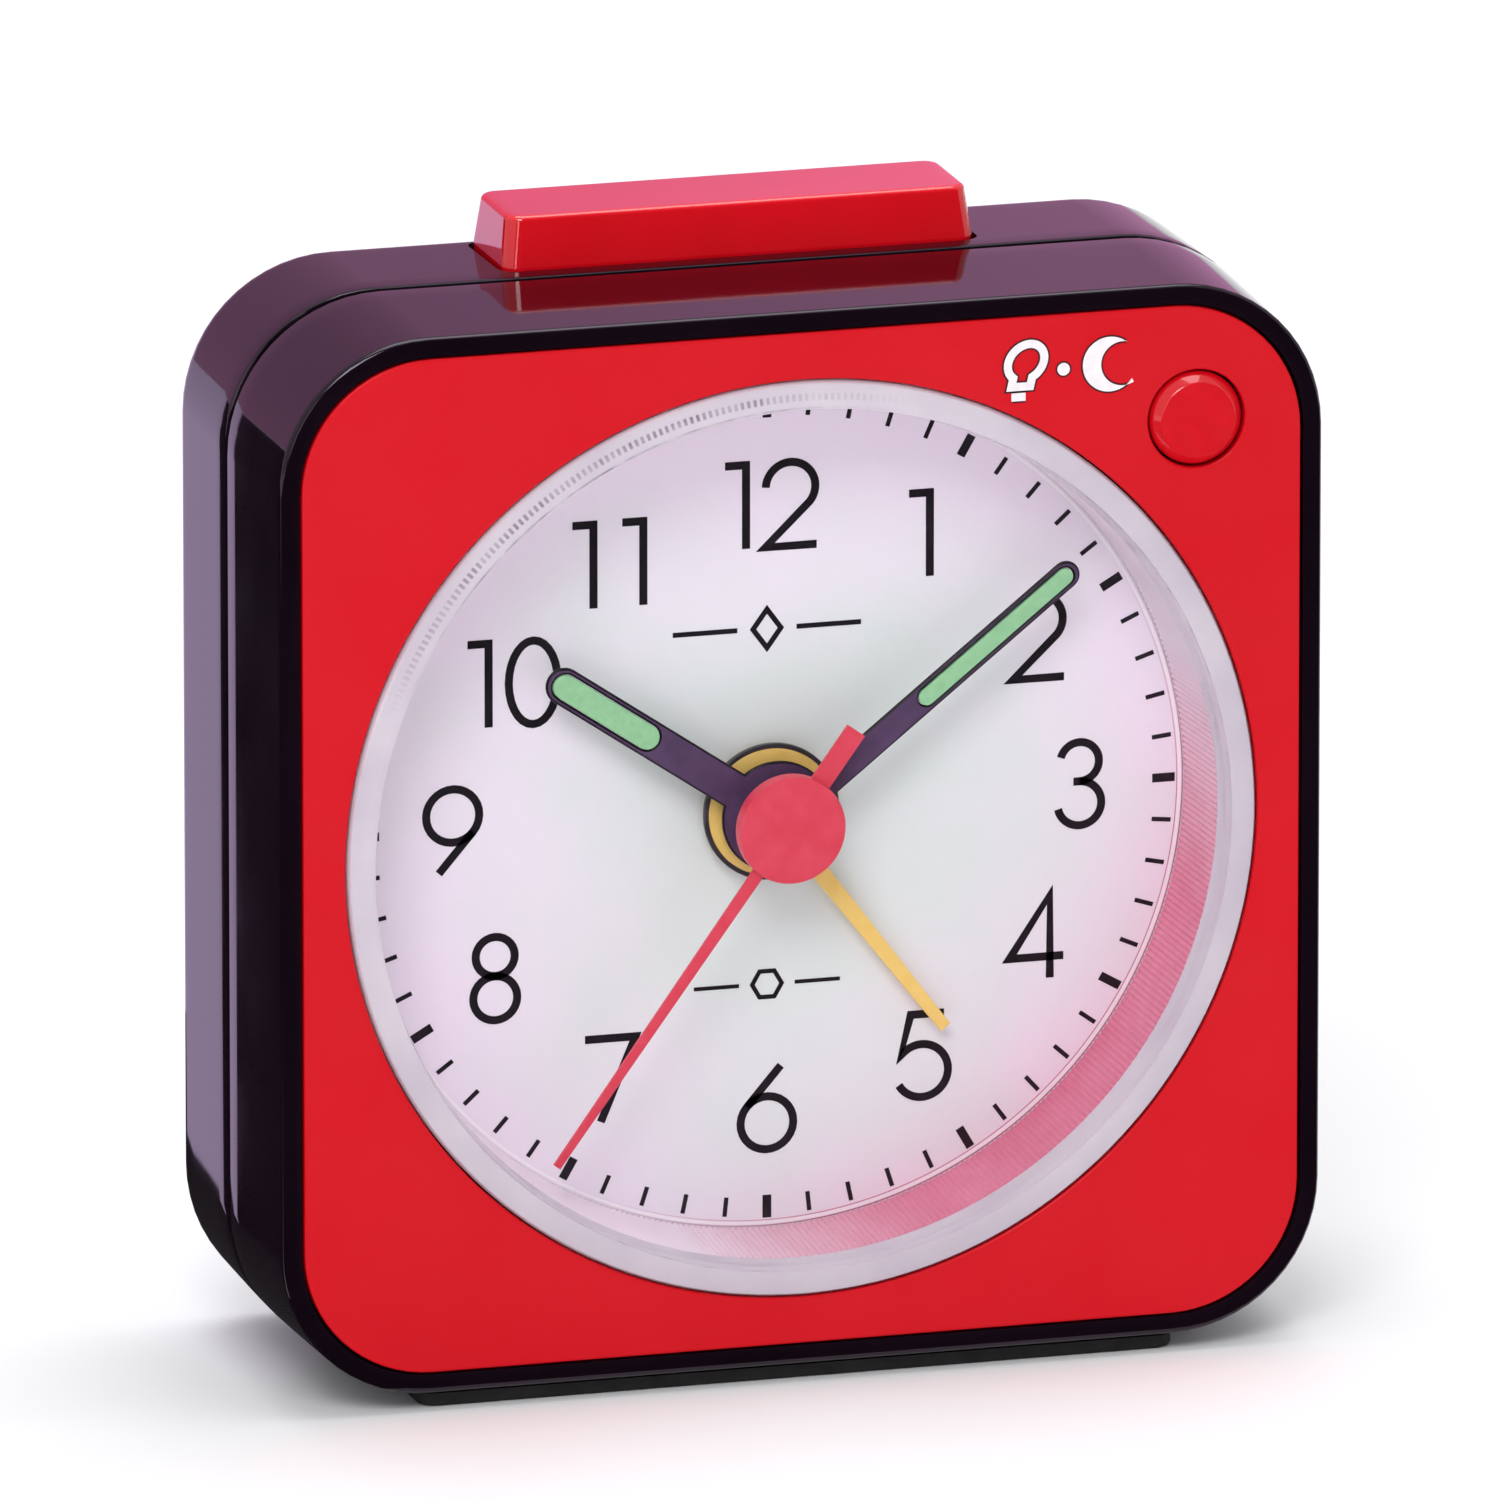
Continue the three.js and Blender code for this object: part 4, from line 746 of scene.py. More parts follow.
def rear_shell():
    """The rear half: rounded back edge, tongue into the bezel, screw posts, battery tray and openings."""
    start = SEAM + SEAM_GAP
    inner = BODY_BACK - WALL
    tongue_out, tongue_in = TONGUE
    profile = [(WALL + 1.3, inner), (WALL + 0.3, inner), (WALL, inner - 0.3), (WALL, start + 1)]
    profile += [(tongue_in, start + 1), (tongue_in, SHELL.front), (tongue_out, SHELL.front)]
    profile += [(tongue_out, start), (EASE, start), (EASE / 3, start + EASE / 3), (0, start + EASE)]
    edge = BODY_BACK - REAR_EDGE
    profile += draft(REAR_DRAFT, start + EASE, edge)
    profile += [(x, 2 * edge - d) for x, d in arc(REAR_DRAFT, edge, REAR_EDGE, 12)]
    profile.append((REAR_DRAFT + REAR_EDGE + 0.6, BODY_BACK))
    root = inner + 0.1
    posts = [(0, SCREW_POST_FRONT), (SCREW_POST, SCREW_POST_FRONT), (SCREW_POST, root), (0, root)]
    screws = [Extent(f"case_screw_{i}") for i in range(1, 5)]
    extras = [lathe(posts, 32, s.x, s.z) for s in screws]
    cell = Extent("battery")
    end = TRAY_ENDS[0][0]
    sides = [(end, -end, cell.top + TRAY_LID[0], cell.top + TRAY_LID[1])]
    sides += [(left, right, cell.z - drop, cell.top + 0.85) for left, right, drop in TRAY_ENDS]
    for left, right, low, high in sides:
        middle = ((left + right) / 2, (low + high) / 2)
        extras.append(plate(right - left, high - low, 0.05, *middle, TRAY_FRONT, root, 3))
    shell = union(loft([case_loop(*p) for p in profile]), *extras)
    snooze, door, switch, buzzer = map(Extent, ("snooze_bar", "battery_door", "alarm_switch", "buzzer"))
    opening = rounded(*BAR_OPENING, snooze.x, BAR_DEPTH, 8)
    tools = [loft([[(x, d, z) for x, d in opening] for z in (SHELL.top - WALL - 0.5, SHELL.top + 1)])]
    outlines = [rounded(door.width + 0.5, door.height + 0.5, 0.9, door.x, door.z, 6)]
    outlines.append(rounded(*SWITCH_OPENING, switch.x + 1.5, switch.z, 6))
    outlines += [rounded(*SOUND_SLOT, buzzer.x, buzzer.z + SOUND_PITCH * row, 6) for row in range(-2, 3)]
    for knob in ("time_setting_knob", "alarm_setting_knob"):
        outlines.append(circle(KNOB_HOLE, 48, Extent(knob).x, Extent(knob).z))
    tools += [slab([outline], inner - 0.2, BODY_BACK + 1) for outline in outlines]
    hole = [(0, 8), (SCREW_HOLE, 8), (SCREW_HOLE, root)]
    hole += [(SCREW_HEAD_HOLE, root), (SCREW_HEAD_HOLE, 25), (0, 25)]
    tools += [lathe(hole, 48, s.x, s.z) for s in screws]
    return eased(cut(shell, *tools), 0.1, 2, 50)


settle("case_back", rear_shell(), CASE, "case", ["rear_shell"])


def foot(node):
    """A rubber pad with a chamfered foot line."""
    e = Extent(node)
    levels = [(0.0, e.top), (0.0, e.bottom + 0.25), (0.08, e.bottom + 0.08), (0.25, e.bottom)]
    loops = []
    for inset, z in levels:
        width, across = e.width - 2 * inset, e.thickness - 2 * inset
        outline = rounded(width, across, 1.0 - inset * 0.5, e.x, e.depth, 8)
        loops.append([(x, d, z) for x, d in outline])
    return loft(loops)


for each in ("foot_front", "foot_rear"):
    settle(each.replace("foot", "rubber_foot"), foot(each), RUBBER, "case", [each])

# ---- crystal, ring and dial


def crystal():
    """A slightly domed clear window in a thick bevelled rim."""
    e = Extent("crystal")
    radius, back = e.width / 2, e.back
    window, under, rise = radius - 1.5, 0.6, 0.1
    dome = [(window * i / 10, rise * (i / 10) ** 2) for i in range(11)]
    face = [(r, e.front + depth) for r, depth in dome]
    # The pane's edge is set a little into the rim, so that no two walls lie in one place.
    edge = window + 0.05
    inside = [(r, under + depth) for r, depth in dome[::-1]]
    pane = lathe([*face, (edge, e.front + 0.14), (edge, under + rise), *inside], 192)
    section = [(window, e.front + 0.12), (window + 0.35, e.front + 0.16), (radius - 0.45, -0.22)]
    section += [(radius - 0.15, -0.08), (radius, 0.2), (radius, back - 0.1), (radius - 0.1, back)]
    section += [(window - 0.3, back), (window, under + 0.15)]
    rim = lathe(section, 192, wrap=True)
    rim.polygons.foreach_set("material_index", [1] * len(rim.polygons))
    return merged(pane, rim)


settle("clear_crystal", crystal(), [CLEAR, RIM], "case", ["crystal"])


def dial_ring():
    """A ring whose inner wall is finely reeded."""
    e = Extent("dial_ring")
    outer = e.width / 2
    front, back = outer - 1.0, outer - 1.3
    reeds, reed_height = 450, 0.06

    def reed(angle, _):
        return reed_height * math.cos(reeds * angle)

    # Two closed rings, the reeded one just in front of the plain one that carries it.
    lip, overlap, sunk = 0.26, 0.1, 0.01
    edge = front + lip
    wall = [(edge, e.front), (edge + 2 * overlap, e.front), (back, e.back), (front, e.front + lip)]
    inside = lathe(wall, reeds * 4, wrap=True, ripple=reed)
    shell = [(edge + overlap, e.front + sunk), (outer, e.front + sunk)]
    shell += [(outer, e.back - sunk), (back + overlap, e.back - sunk)]
    return merged(inside, lathe(shell, 192, wrap=True))


settle("reeded_ring", dial_ring(), RING, "case", ["dial_ring"])


e = Extent("dial")
disc = slab([circle(e.width / 2, 192), circle(2.5, 64)], e.front, e.back, 0.05, 1)
settle("dial_plate", disc, DIAL, "case", ["dial"])

# ---- printing

PRINT_HEIGHT = 0.02
PRINT_SUNK = 0.01


def ribbon(points, width, front, closed=False):
    """A flat stroke of even width along points (x, z), raised a little off the face it is printed on."""
    count = len(points)
    left, right = [], []
    for i, (x, z) in enumerate(points):
        before = Vector(points[i - 1]) if closed or i else Vector((x, z))
        after = Vector(points[(i + 1) % count]) if closed or i < count - 1 else Vector((x, z))
        here = Vector((x, z))
        ways = [v.normalized() for v in (here - before, after - here) if v.length > 1e-6]
        along = sum(ways, Vector((0, 0))).normalized()
        across = Vector((-along.y, along.x))
        reach = width / 2 / max(0.4, across.dot(Vector((-ways[0].y, ways[0].x))))
        left.append(here + across * reach)
        right.append(here - across * reach)
    back = front + PRINT_HEIGHT + PRINT_SUNK
    vertices, faces = [], []
    for a, b in zip(left, right):
        vertices += [(a.x, front, a.y), (b.x, front, b.y), (b.x, back, b.y), (a.x, back, a.y)]
    for i in range(count if closed else count - 1):
        p, q = 4 * i, 4 * ((i + 1) % count)
        faces += [(p + k, p + (k + 1) % 4, q + (k + 1) % 4, q + k) for k in range(4)]
    if not closed:
        faces += [(3, 2, 1, 0), tuple(4 * (count - 1) + k for k in range(4))]
    return mesh_from(vertices, faces)


def bow(cx, cz, radius, start, end, tall=None, steps=28):
    """Points on an arc, angles in degrees anticlockwise from the right."""
    tall = radius if tall is None else tall
    turns = [math.radians(start + (end - start) * i / steps) for i in range(steps + 1)]
    return [(cx + radius * math.cos(a), cz + tall * math.sin(a)) for a in turns]


DIGIT_TOP = 2.38
UPPER = 1.12
LOWER = (2 * DIGIT_TOP - 2 * UPPER) / 2
BOWL = 1.52


def six():
    """A round bowl with a straight tail that leaves it along its tangent."""
    centre = Vector((0, BOWL - DIGIT_TOP))
    tip = Vector((0.8, DIGIT_TOP))
    away = tip - centre
    turn = math.degrees(math.atan2(away.y, away.x) + math.acos(BOWL / away.length))
    return [[tuple(tip), *bow(centre.x, centre.y, BOWL, turn, turn + 360)]]


def digits():
    """Each digit as its strokes, drawn about its own middle."""
    top = DIGIT_TOP
    return {
        "0": [bow(0, 0, 1.4, 90, 450, top)],
        "1": [[(-0.85, top), (0.35, top), (0.35, -top)]],
        "2": [[*bow(0, top - 1.42, 1.42, 178, -38), (-1.45, -top), (1.5, -top)]],
        "3": [
            [*bow(0, top - UPPER, UPPER, 165, -90), (-0.35, top - 2 * UPPER)],
            bow(0, LOWER - top, LOWER, 90, -168),
        ],
        "4": [[(0.72, -top), (0.72, top), (-1.62, -1.15), (1.5, -1.15)]],
        "5": [[(1.2, top), (-0.72, top), *bow(-0.08, BOWL - top, BOWL, 142, -150)]],
        "6": six(),
        "7": [[(-1.45, top), (1.45, top), (-0.55, -top)]],
        "8": [bow(0, top - UPPER, UPPER, -90, 270), bow(0, LOWER - top, LOWER, 90, 450)],
        "9": [[(-x, -z) for x, z in stroke] for stroke in six()],
    }


DIGITS = digits()
STROKE = 0.46
NUMERAL_REACH = (18.0, 17.2)
NUMERAL_PULL = {10: 0.945, 11: 0.97}
TENS_SHIFT = -1.55
ONES_SHIFT = {"0": 1.35, "1": 1.3, "2": 1.35}
LONG_MARK = (22.2, 23.5, 0.5)
SHORT_MARK = (22.3, 23.4, 0.25)
DIAL_FRONT = Extent("dial").front


def dial_print():
    """The numerals and the minute marks."""
    front = DIAL_FRONT - PRINT_HEIGHT
    strokes = []
    for hour in range(1, 13):
        angle = TURN * hour / 12
        pull = NUMERAL_PULL.get(hour, 1.0)
        x = NUMERAL_REACH[0] * math.sin(angle) * pull
        z = NUMERAL_REACH[1] * math.cos(angle) * pull
        text = str(hour)
        offsets = [0.0] if len(text) == 1 else [TENS_SHIFT, ONES_SHIFT[text[1]]]
        for digit, shift in zip(text, offsets):
            for points in DIGITS[digit]:
                moved = [(x + shift + px, z + pz) for px, pz in points]
                closed = (Vector(moved[0]) - Vector(moved[-1])).length < 1e-6
                strokes.append(ribbon(moved[:-1] if closed else moved, STROKE, front, closed))
    for minute in range(60):
        start, end, width = SHORT_MARK if minute % 5 else LONG_MARK
        line = turned_to([(0, start), (0, end)], TURN * minute / 60)
        strokes.append(ribbon(line, width, front))
    return merged(*strokes)


settle("dial_print", dial_print(), PRINT, "case")


def ornaments():
    """A line with a lozenge above the hands, and a line with a small six-sided mark below them."""
    front = DIAL_FRONT - PRINT_HEIGHT
    high, low = 10.2, -10.1
    lozenge = [(0, 1.1), (-0.8, 0), (0, -1.1), (0.8, 0)]
    meshes = [ribbon([(x, z + high) for x, z in lozenge], 0.3, front, True)]
    for side in (-1, 1):
        meshes.append(ribbon([(side * 1.7, high), (side * 5.4, high)], 0.28, front))
        meshes.append(ribbon([(side * 1.6, low), (side * 4.2, low)], 0.22, front))
    meshes.append(ribbon([(x, z + low) for x, z in circle(0.85, 6)], 0.25, front, True))
    return merged(*meshes)


settle("dial_ornaments", ornaments(), PRINT, "case")


def pictograms(grow, front):
    """A light bulb, a dot and a crescent moon for the light and snooze button."""
    x, z = 15.2, 25.75
    stroke, lean = STROKE + 2 * grow, 0.22
    globe = [(x - 2.6 + px, z + 0.45 + pz) for px, pz in bow(0, 0, 1.02, -58, 238)]
    bulb = [(x - 2.06, z - 0.92), *globe, (x - 3.14, z - 0.92)]
    base = [(x - 3.0, z - 1.5), (x - 2.2, z - 1.5)]
    meshes = []
    for line in (bulb, base):
        leant = [(px + lean * (pz - z), pz) for px, pz in line]
        meshes.append(ribbon(leant, stroke, front, line is bulb))
    dot = circle(0.36 + grow, 24, x - 0.35, z - 0.1)
    outer = bow(x + 2.3, z, 1.55 + grow, 55, 325, steps=40)
    inner = bow(x + 3.05, z, 1.25 - grow, 300, 80, steps=30)
    for outline in (dot, outer + inner):
        meshes.append(slab([outline], front, front + PRINT_HEIGHT + PRINT_SUNK))
    return merged(*meshes)


# The legend's dark maroon band, a little wider than its white print, is a painted shadow.
settle("legend_painted_shadow", pictograms(0.1, PANEL.front - 0.012), PAINTED_SHADOW_MAROON, "case")
settle("legend_print", pictograms(0.0, PANEL.front - 0.028), PRINT_WHITE, "case")

# ---- hands

HOUR_ANGLE = math.radians(304.3)
MINUTE_ANGLE = math.radians(51.6)
SECOND_ANGLE = math.radians(216)
ALARM_ANGLE = math.radians(142.6)


# Each hand is node, body, angle, hub, half width, end, window (start, end, half width) and bore.
BLACK_HANDS = (
    ("hour_hand", "hours", HOUR_ANGLE, 3.15, 1.05, 14.75, (9.0, 14.7, 0.72), 1.65),
    ("minute_hand", "minutes", MINUTE_ANGLE, 2.4, 0.8, 20.7, (10.5, 20.6, 0.5), 1.05),
)
LUME_GAP = 0.03

for node, body, angle, hub, half, end, window, bore in BLACK_HANDS:
    e = Extent(node)
    outlines = [hand_outline(hub, [(angle, half, end, False, half)]), bar(*window, angle), circle(bore, 48)]
    blade = slab(outlines, e.front, e.back, 0.13, 2)
    settle(f"{node}_blade", blade, HAND_BLACK, body, [node])
for node, body, angle, *_, (start, end, half), _bore in BLACK_HANDS:
    e = Extent(f"{node}_lume")
    fill = slab([bar(start, end, half - LUME_GAP, angle)], e.front, e.back, 0.06, 2)
    settle(f"{node}_fill", fill, LUME, body, [f"{node}_lume"])


def second_hand():
    """A flat hub with a thin pointer and a short square tail."""
    e = Extent("second_hand")
    front, back = e.back - 0.3, e.back
    hub = 3.05
    pointer = (SECOND_ANGLE, 0.36, 22.7, True, 0.22)
    tail = (SECOND_ANGLE - math.pi, 0.6, 6.5, True, 0.6)
    arms = slab([hand_outline(hub - 0.1, [pointer, tail])], front, back, 0.07, 2)
    profile = [(0, e.front), (hub - 0.22, e.front), (hub - 0.06, e.front + 0.06), (hub, e.front + 0.2)]
    profile += [(hub, back - 0.05), (hub - 0.05, back), (0, back)]
    return union(lathe(profile, 96), arms)


settle("second_hand_pointer", second_hand(), HAND_RED, "seconds", ["second_hand"], sharp=28)


ALARM_HUB = 3.62


def alarm_hand():
    e = Extent("alarm_hand")
    outline = hand_outline(ALARM_HUB, [(ALARM_ANGLE, 0.5, 16.5, True, 0.34)])
    return slab([outline, circle(2.25, 64)], e.front, e.back, 0.06, 2)


def alarm_collar():
    """The dark edge round the alarm hand's hub, cut away where the pointer leaves it."""
    e = Extent("alarm_hand")
    inner, outer = ALARM_HUB + 0.01, ALARM_HUB + 0.26
    section = [(inner, e.front), (outer - 0.06, e.front), (outer, e.front + 0.06)]
    section += [(outer, e.back), (inner, e.back)]
    gap = slab([bar(2, 5, 0.52, ALARM_ANGLE, True)], e.front - 1, e.back + 1)
    return cut(lathe(section, 96, wrap=True), gap)


settle("alarm_hand_pointer", alarm_hand(), YELLOW, "alarm", ["alarm_hand"])
settle("alarm_hub_edge", alarm_collar(), BLACK, "alarm")

# ---- snooze bar and light button


def snooze_bar():
    """A tapered bar with rounded edges; the neck and flange below keep it in the case."""
    e = Extent("snooze_bar")
    width, across, height = 27.0, 7.3, 2.9
    base = e.top - height
    flange = (base - WALL - 0.9, base - WALL - 0.1)
    taper, edge, lift = (0.3, 0.42), 0.34, 0.12
    rise = height - edge
    # Each level is (inset along the bar, inset across it, z, corner radius).
    levels = [(-1.1, -0.55, z, 0.6) for z in flange]
    levels += [(0.03, 0.03, flange[1], 0.95), (0.03, 0.03, base, 0.95), (0.0, 0.0, base + lift, 1.0)]
    for share in (1 / 3, 2 / 3, 1):
        levels.append((taper[0] * share, taper[1] * share, base + lift + (rise - lift) * share, 1.0))
    for i in range(1, 7):
        a = math.radians(15 * i)
        inset = edge * (1 - math.cos(a))
        levels.append((taper[0] + inset, taper[1] + inset, base + rise + edge * math.sin(a), 1.0 - inset))
    levels.append((taper[0] + edge + 0.5, taper[1] + edge + 0.5, e.top, 0.4))

    def level(size_x, size_y, z, radius, steps):
        return [(x, d, z) for x, d in rounded(size_x, size_y, radius, e.x, BAR_DEPTH, steps)]

    body = loft([level(width - 2 * x, across - 2 * d, z, radius, 8) for x, d, z, radius in levels])
    post = loft([level(2.4, 2.4, z, 0.3, 4) for z in (e.bottom, flange[0] + 0.2)])
    return union(body, post)


settle("snooze_bar_cap", snooze_bar(), BAR, "snooze", ["snooze_bar"])


def light_button():
    """A slightly domed disc with a rounded rim, on its stem."""
    e = BUTTON_BOX
    r, skirt = e.width / 2, 0.9
    face = [((r - 0.62) * i / 6, e.front + 0.04 * (i / 6) ** 2) for i in range(7)]
    slope = [(0.55, 0.07), (0.48, 0.12), (0.22, 0.43), (0.12, 0.56), (0.04, 0.68), (0.0, 0.82)]
    rim = [(r - inset, e.front + depth) for inset, depth in slope]
    rest = [(r, skirt), (BUTTON_STEM, skirt), (BUTTON_STEM, e.back - 0.1)]
    rest += [(BUTTON_STEM - 0.1, e.back), (0, e.back)]
    return lathe([*face, *rim, *rest], 72, e.x, e.z)


settle("light_button_cap", light_button(), BUTTON, "light", ["light_button"])


def spring(node):
    """A coil of round wire with closed ends."""
    e = Extent(node)
    wire, radius = 0.2, 1.3
    turns, steps, sides = 4.5, 180, 10
    rise = e.height - 2 * wire
    x = round(e.x)
    path = []
    for i in range(steps + 1):
        t = i / steps
        lift = min(1.0, max(0.0, (t - 0.12) / 0.76))
        a = TURN * turns * t
        z = e.bottom + wire + rise * lift
        path.append(Vector((x + radius * math.cos(a), e.depth + radius * math.sin(a), z)))
    loops = []
    for i, point in enumerate(path):
        along = (path[min(i + 1, steps)] - path[max(i - 1, 0)]).normalized()
        out = Vector((point.x - x, point.y - e.depth, 0)).normalized()
        side = along.cross(out).normalized()
        out = side.cross(along)
        loops.append([
            point + wire * (out * math.cos(TURN * k / sides) + side * math.sin(TURN * k / sides))
            for k in range(sides)
        ])
    return loft(loops)


for each in ("snooze_spring_1", "snooze_spring_2"):
    e = Extent(each)
    coil = settle(each.replace("spring", "coil"), spring(each), STEEL, BODY_OF[each], [each])
    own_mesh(coil)

# ---- back of the case


def setting_knob(node):
    """A scalloped knob with a dished top, a pointer groove and its stem."""
    e = Extent(node)
    ribs, radius = 16, e.width / 2
    front, back = e.back - 1.4, e.back

    def scallop(angle, r):
        return -0.34 * (0.5 - 0.5 * math.cos(ribs * angle)) ** 2 if r > radius - 0.5 else 0

    profile = [(radius - 0.3, front), (radius, front + 0.2), (radius, back - 0.3)]
    profile += [(radius - 0.08, back - 0.1), (radius - 0.25, back)]
    profile += [(radius - 1.0, back), (radius - 1.15, back - 0.2)]
    grip = lathe(profile, ribs * 12, e.x, e.z, ripple=scallop, caps=True)
    stem = lathe([(0, e.front), (1.3, e.front), (1.3, front + 0.2), (0, front + 0.2)], 48, e.x, e.z)
    groove = slab([bar(1.2, 3.3, 0.3, 0)], back - 0.5, back + 1)
    groove.transform(Matrix.Translation((e.x, 0, e.z)))
    dimple = slab([circle(0.7, 32, e.x, e.z)], back - 0.45, back + 1)
    return cut(union(grip, stem), groove, dimple)


for node, body in (("time_setting_knob", "motion_work"), ("alarm_setting_knob", "alarm_setting")):
    settle(node.replace("_knob", "_wheel"), setting_knob(node), BLACK, body, [node])


def battery_door():
    """A flush lid with rounded corners, finger ribs and a small arrow."""
    e = Extent("battery_door")
    lid = plate(e.width, e.height, 0.7, e.x, e.z, e.front, e.back, 6, 0.12)
    ribs = [
        plate(0.6, 6.0, 0.29, e.right - 4 + row * 1.2, e.z, e.back - 0.4, e.back + 1, 5)
        for row in range(-2, 3)
    ]
    tip = e.right - 11
    outline = [(-2.2, 1.9), (0, 0), (-2.2, -1.9), (-2.9, -1.9), (-0.7, 0), (-2.9, 1.9)]
    arrow = slab([[(tip + x, e.z + z) for x, z in outline]], e.back - 0.3, e.back + 1)
    return cut(lid, *ribs, arrow)


settle("battery_lid", battery_door(), SATIN, "door", ["battery_door"])


def alarm_switch():
    """A slider with a ridged thumb button."""
    e = Extent("alarm_switch")
    body = plate(10.0, 4.4, 0.3, e.x, e.z, e.front, e.front + 0.6, 4, 0.05, 1)
    button = plate(3.4, 2.2, 0.4, e.x, e.z, e.front + 0.5, e.back, 6, 0.15)
    ridges = [
        plate(0.35, 1.9, 0.17, e.x + shift, e.z, e.back - 0.3, e.back + 1, 5)
        for shift in (-0.9, -0.3, 0.3, 0.9)
    ]
    return union(cut(button, *ridges), body)


settle("alarm_slider", alarm_switch(), BLACK, "switch", ["alarm_switch"])


def case_screw(node):
    """A pan head with a cross recess on a plain shank."""
    e = Extent(node)
    head, shank = 1.7, 0.9
    top = e.back
    seat = top - 1.2
    profile = [(0, top), (head - 0.5, top), (head - 0.2, top - 0.04), (head, top - 0.35), (head, seat)]
    profile += [(shank, seat), (shank, e.front + 1), (0.25, e.front), (0, e.front)]
    body = lathe(profile, 40, e.x, e.z)
    tools = []
    for turn in (0.3, 0.3 + math.pi / 2):
        slot = slab([turned_to(rounded(0.56, 2.2, 0.1, steps=2), turn)], top - 0.6, top + 1)
        slot.transform(Matrix.Translation((e.x, 0, e.z)))
        tools.append(slot)
    return cut(body, *tools)


for i in range(1, 5):
    settle(f"case_screw_head_{i}", case_screw(f"case_screw_{i}"), STEEL, "case", [f"case_screw_{i}"])

# ---- materials of the CAD nodes that stay

FINISHES = (
    (BRASS, "snooze_contact light_contact buzzer center_wheel"),
    (LAMP, "dial_lamp"),
    (BOARD, "circuit_board"),
    (STEEL, "quartz_can battery_spring battery_contact"),
    (CHIP, "clock_chip"),
    (IRON, "stator coil_core rotor_magnet"),
    (WINDING, "coil_winding"),
    (SLEEVE, "battery"),
)
FINISH_OF = {node: finish for finish, nodes in FINISHES for node in nodes.split()}
for node, piece in frame["nodes"].items():
    if piece.hide_render:
        continue
    finish = FINISH_OF.get(node, STEEL if "screw" in node else WHITE)
    for place in piece.material_slots:
        place.link = "OBJECT"
        place.material = finish

# ---- camera, floor and light

AZIMUTH = math.radians(-16.2)
ELEVATION = math.radians(15.0)
DISTANCE = 1.8
FRAME_PIXELS = 1500
PIXELS_PER_MM = 18.2
SENSOR = 36.0
RIGHT = Vector((math.cos(AZIMUTH), math.sin(AZIMUTH), 0))
LEVEL = math.cos(ELEVATION)
BACK = Vector((math.sin(AZIMUTH) * LEVEL, -math.cos(AZIMUTH) * LEVEL, math.sin(ELEVATION)))
UP = BACK.cross(RIGHT)
PANEL_CENTRE = INTO_FRAME @ Vector((PANEL.x, PANEL.front, PANEL.z))
AIM_LEFT = 2.94
AIM_UP = 4.95
AIM = PANEL_CENTRE - RIGHT * AIM_LEFT * MM + UP * AIM_UP * MM


def stand(piece, place, way):
    """Put an object at a place, its z axis along a direction."""
    piece.location = place
    piece.rotation_mode = "QUATERNION"
    piece.rotation_quaternion = way.to_track_quat("Z", "Y")


camera = placed("camera", bpy.data.cameras.new("camera"))
camera.data.sensor_width = SENSOR
camera.data.lens = SENSOR * DISTANCE / (FRAME_PIXELS / PIXELS_PER_MM * MM)
stand(camera, AIM + BACK * DISTANCE, BACK)
camera.data.clip_start = 0.05
camera.data.clip_end = 60
bpy.context.scene.camera = camera
bpy.context.scene.view_settings.view_transform = "Standard"


def sheet(name, corners, material):
    """A flat face in the scene."""
    mesh = bpy.data.meshes.new(name)
    mesh.from_pydata(corners, [], [tuple(range(len(corners)))])
    mesh.materials.append(material)
    return placed(name, mesh)


FLOOR = common("floor_white", (247, 247, 248), (251, 251, 252), 80.0, (0.75, 0.9), (2.0, 0.01))
floor = sheet("floor", [(-15, -15, 0), (15, -15, 0), (15, 15, 0), (-15, 15, 0)], FLOOR)
stand(floor, (0, 0, 0), Vector((0, 0, 1)))

world = bpy.data.worlds.new("studio")
bpy.context.scene.world = world
world.use_nodes = True
sky = world.node_tree.nodes["Background"].inputs
sky["Color"].default_value = (0.97, 0.98, 1.0, 1)
sky["Strength"].default_value = 0.63


def softbox(name, place, size, watts):
    """A square lamp aimed at the panel."""
    lamp = bpy.data.lights.new(name, "AREA")
    lamp.shape = "RECTANGLE"
    lamp.size = lamp.size_y = size
    lamp.energy = watts
    stand(placed(name, lamp), place, Vector(place) - PANEL_CENTRE)


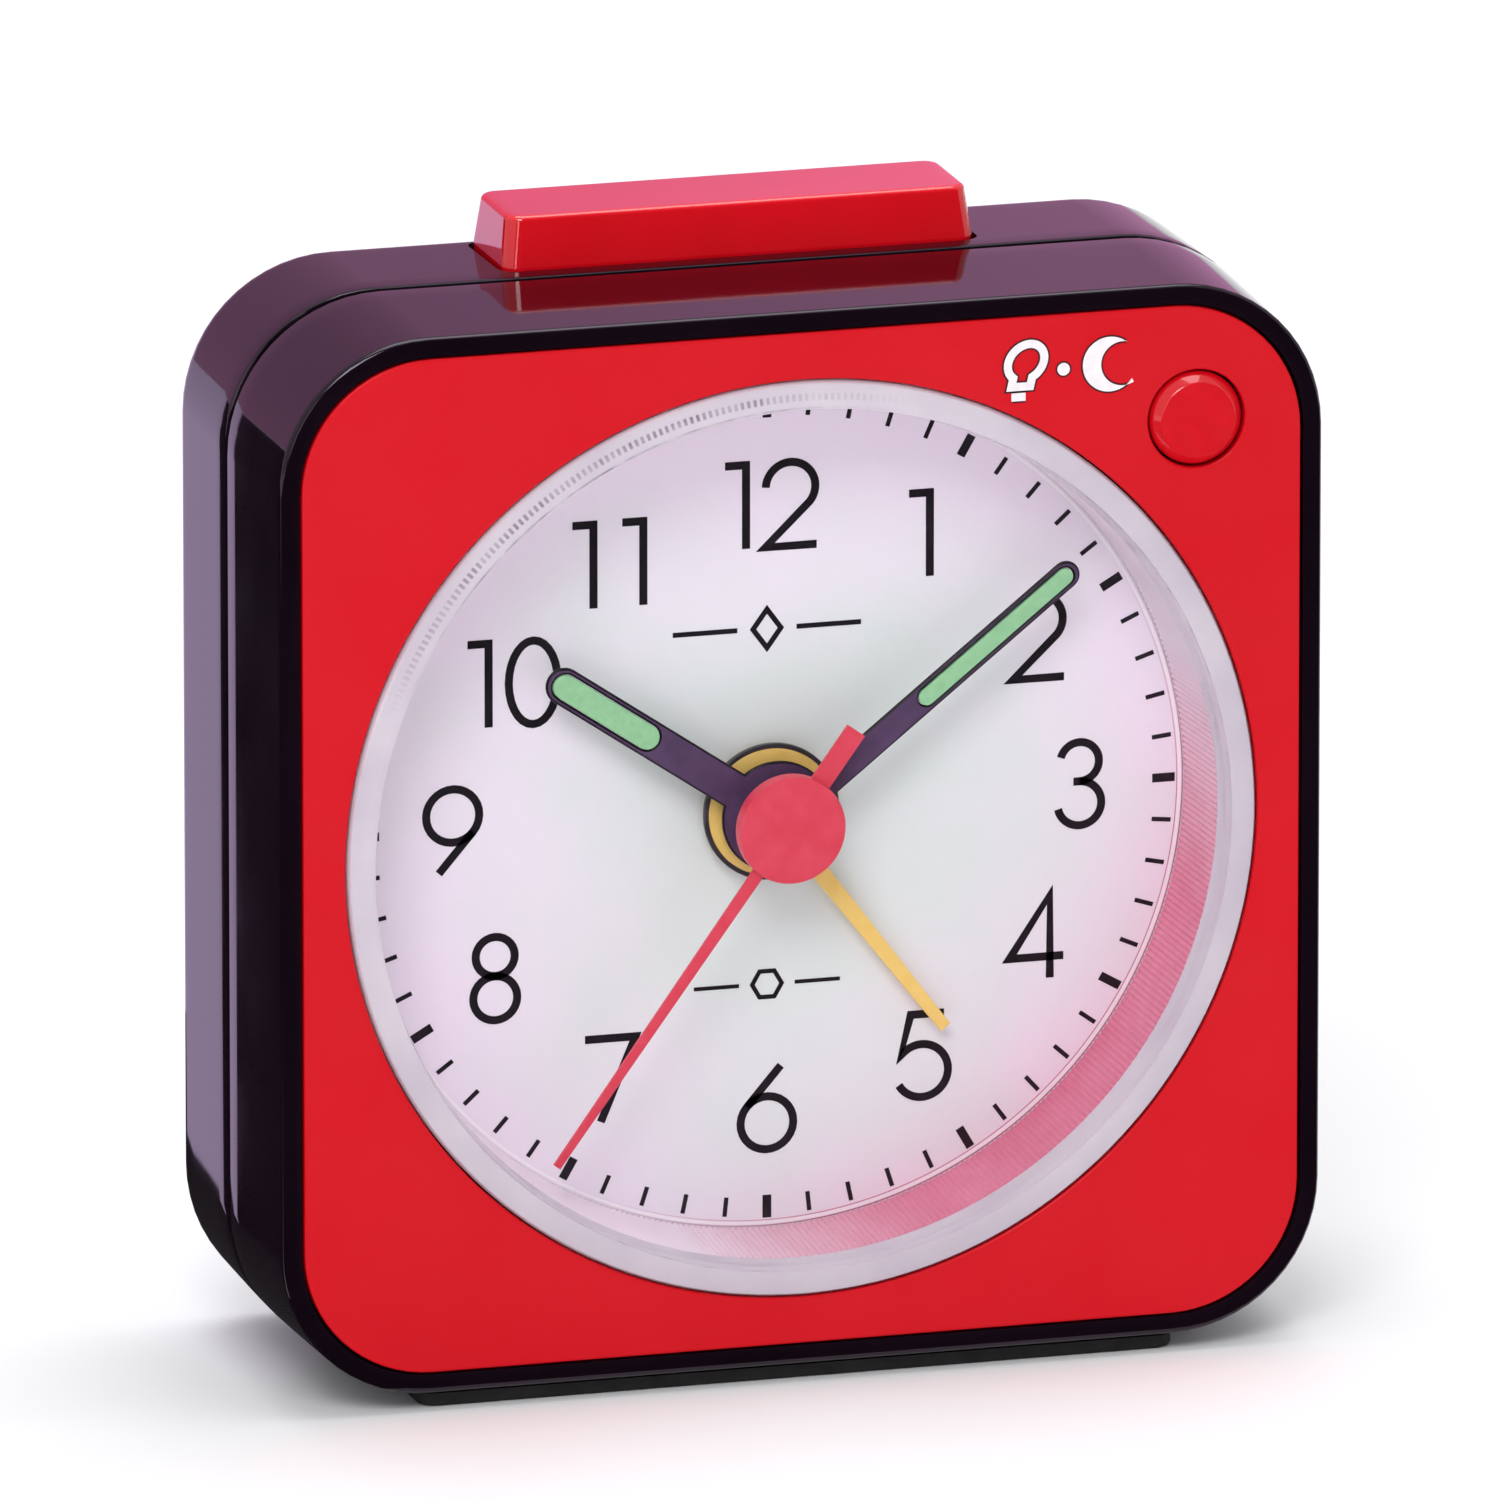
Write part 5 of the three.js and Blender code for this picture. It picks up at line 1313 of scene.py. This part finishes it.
def reflector(name, corners, colour, strength, fade=None):
    """A card seen only in mirror-like surfaces: it shapes the reflections in the glossy case.

    fade is (x, x, strength), for a card whose strength changes to another between two places.
    """
    material = bpy.data.materials.new(name)
    material.use_nodes = True
    tree = material.node_tree
    tree.nodes.clear()
    glow = tree.nodes.new("ShaderNodeEmission")
    glow.inputs["Color"].default_value = colour
    glow.inputs["Strength"].default_value = strength
    if fade:
        split = tree.nodes.new("ShaderNodeSeparateXYZ")
        tree.links.new(tree.nodes.new("ShaderNodeTexCoord").outputs["Object"], split.inputs[0])
        ramp = tree.nodes.new("ShaderNodeMapRange")
        tree.links.new(split.outputs["X"], ramp.inputs["Value"])
        for key, number in zip(("From Min", "From Max", "To Min", "To Max"), (*fade[:2], strength, fade[2])):
            ramp.inputs[key].default_value = number
        tree.links.new(ramp.outputs["Result"], glow.inputs["Strength"])
    end = tree.nodes.new("ShaderNodeOutputMaterial")
    tree.links.new(glow.outputs[0], end.inputs["Surface"])
    piece = sheet(name, corners, material)
    for ray in ("camera", "diffuse", "transmission", "shadow"):
        setattr(piece, f"visible_{ray}", False)


LEFT_FOOT = Vector((CAD_BOX[0].x, FACE_Y + SEAM * MM, 0.001))
DARK = ((0.9, 0.8, 0.9, 1), 0.03)


def by_foot(*places, up=0):
    """Places on the floor from the foot of the seam on the left side."""
    return [LEFT_FOOT + Vector((x, y, up)) for x, y in places]


def upright(left, right, low, high):
    """The corners of an upright card between two places."""
    return [(*left, low), (*right, low), (*right, high), (*left, high)]


# The two halves of the case lean apart a little at the seam. PART runs where their left sides would
# mirror it, so the front half mirrors the dark card and the rear half the pale one.
PART = ((0.001, -0.004), (-0.061, 0.2), (-0.132, 0.35), (-0.575, 1.4))
reflector("dark_card", by_foot(*PART, (-1.4, 1.2), (-0.20, -0.02)), (0.9, 0.55, 0.85, 1), 0.02)
reflector("pale_card", by_foot(*PART[::-1], (0.012, 0.01), (0.2, 1.4)), (0.86, 0.66, 1.0, 1), 0.95)
# The lower left corner mirrors the floor close beside it, which is dark.
corners = by_foot((-0.007, -0.03), (0.05, -0.03), (0.05, 0.07), (-0.007, 0.07), up=0.0005)
reflector("corner_card", corners, *DARK)
corners = upright((-1.6, 1.5), (1.6, 1.5), 0.0, 1.3)
reflector("back_card", corners, (1.0, 0.47, 0.83, 1), 0.50, (0.40, 0.48, 0.74))
# A dark floor and a dark flag in front keep haze off the panel, the crystal and the black edge.
near = FACE_Y - 0.001
corners = [(x, y, 0.001) for x, y in ((-0.2, near), (-0.9, -1.3), (1.9, -1.3), (0.3, near))]
reflector("front_floor_card", corners, *DARK)
reflector("front_flag", upright((-1.2, -1.3), (2.4, -1.3), 0.0, 2.0), *DARK)
corners = upright((-0.62, -0.88), (-0.46, -0.96), 0.02, 0.5)
reflector("stripe_card", corners, (1.0, 0.9, 0.95, 1), 2.5)

softbox("key", (-0.36, -0.8, 0.8), 0.45, 5.0)
softbox("overhead", (0.1, 0.15, 1.3), 0.9, 8.0)
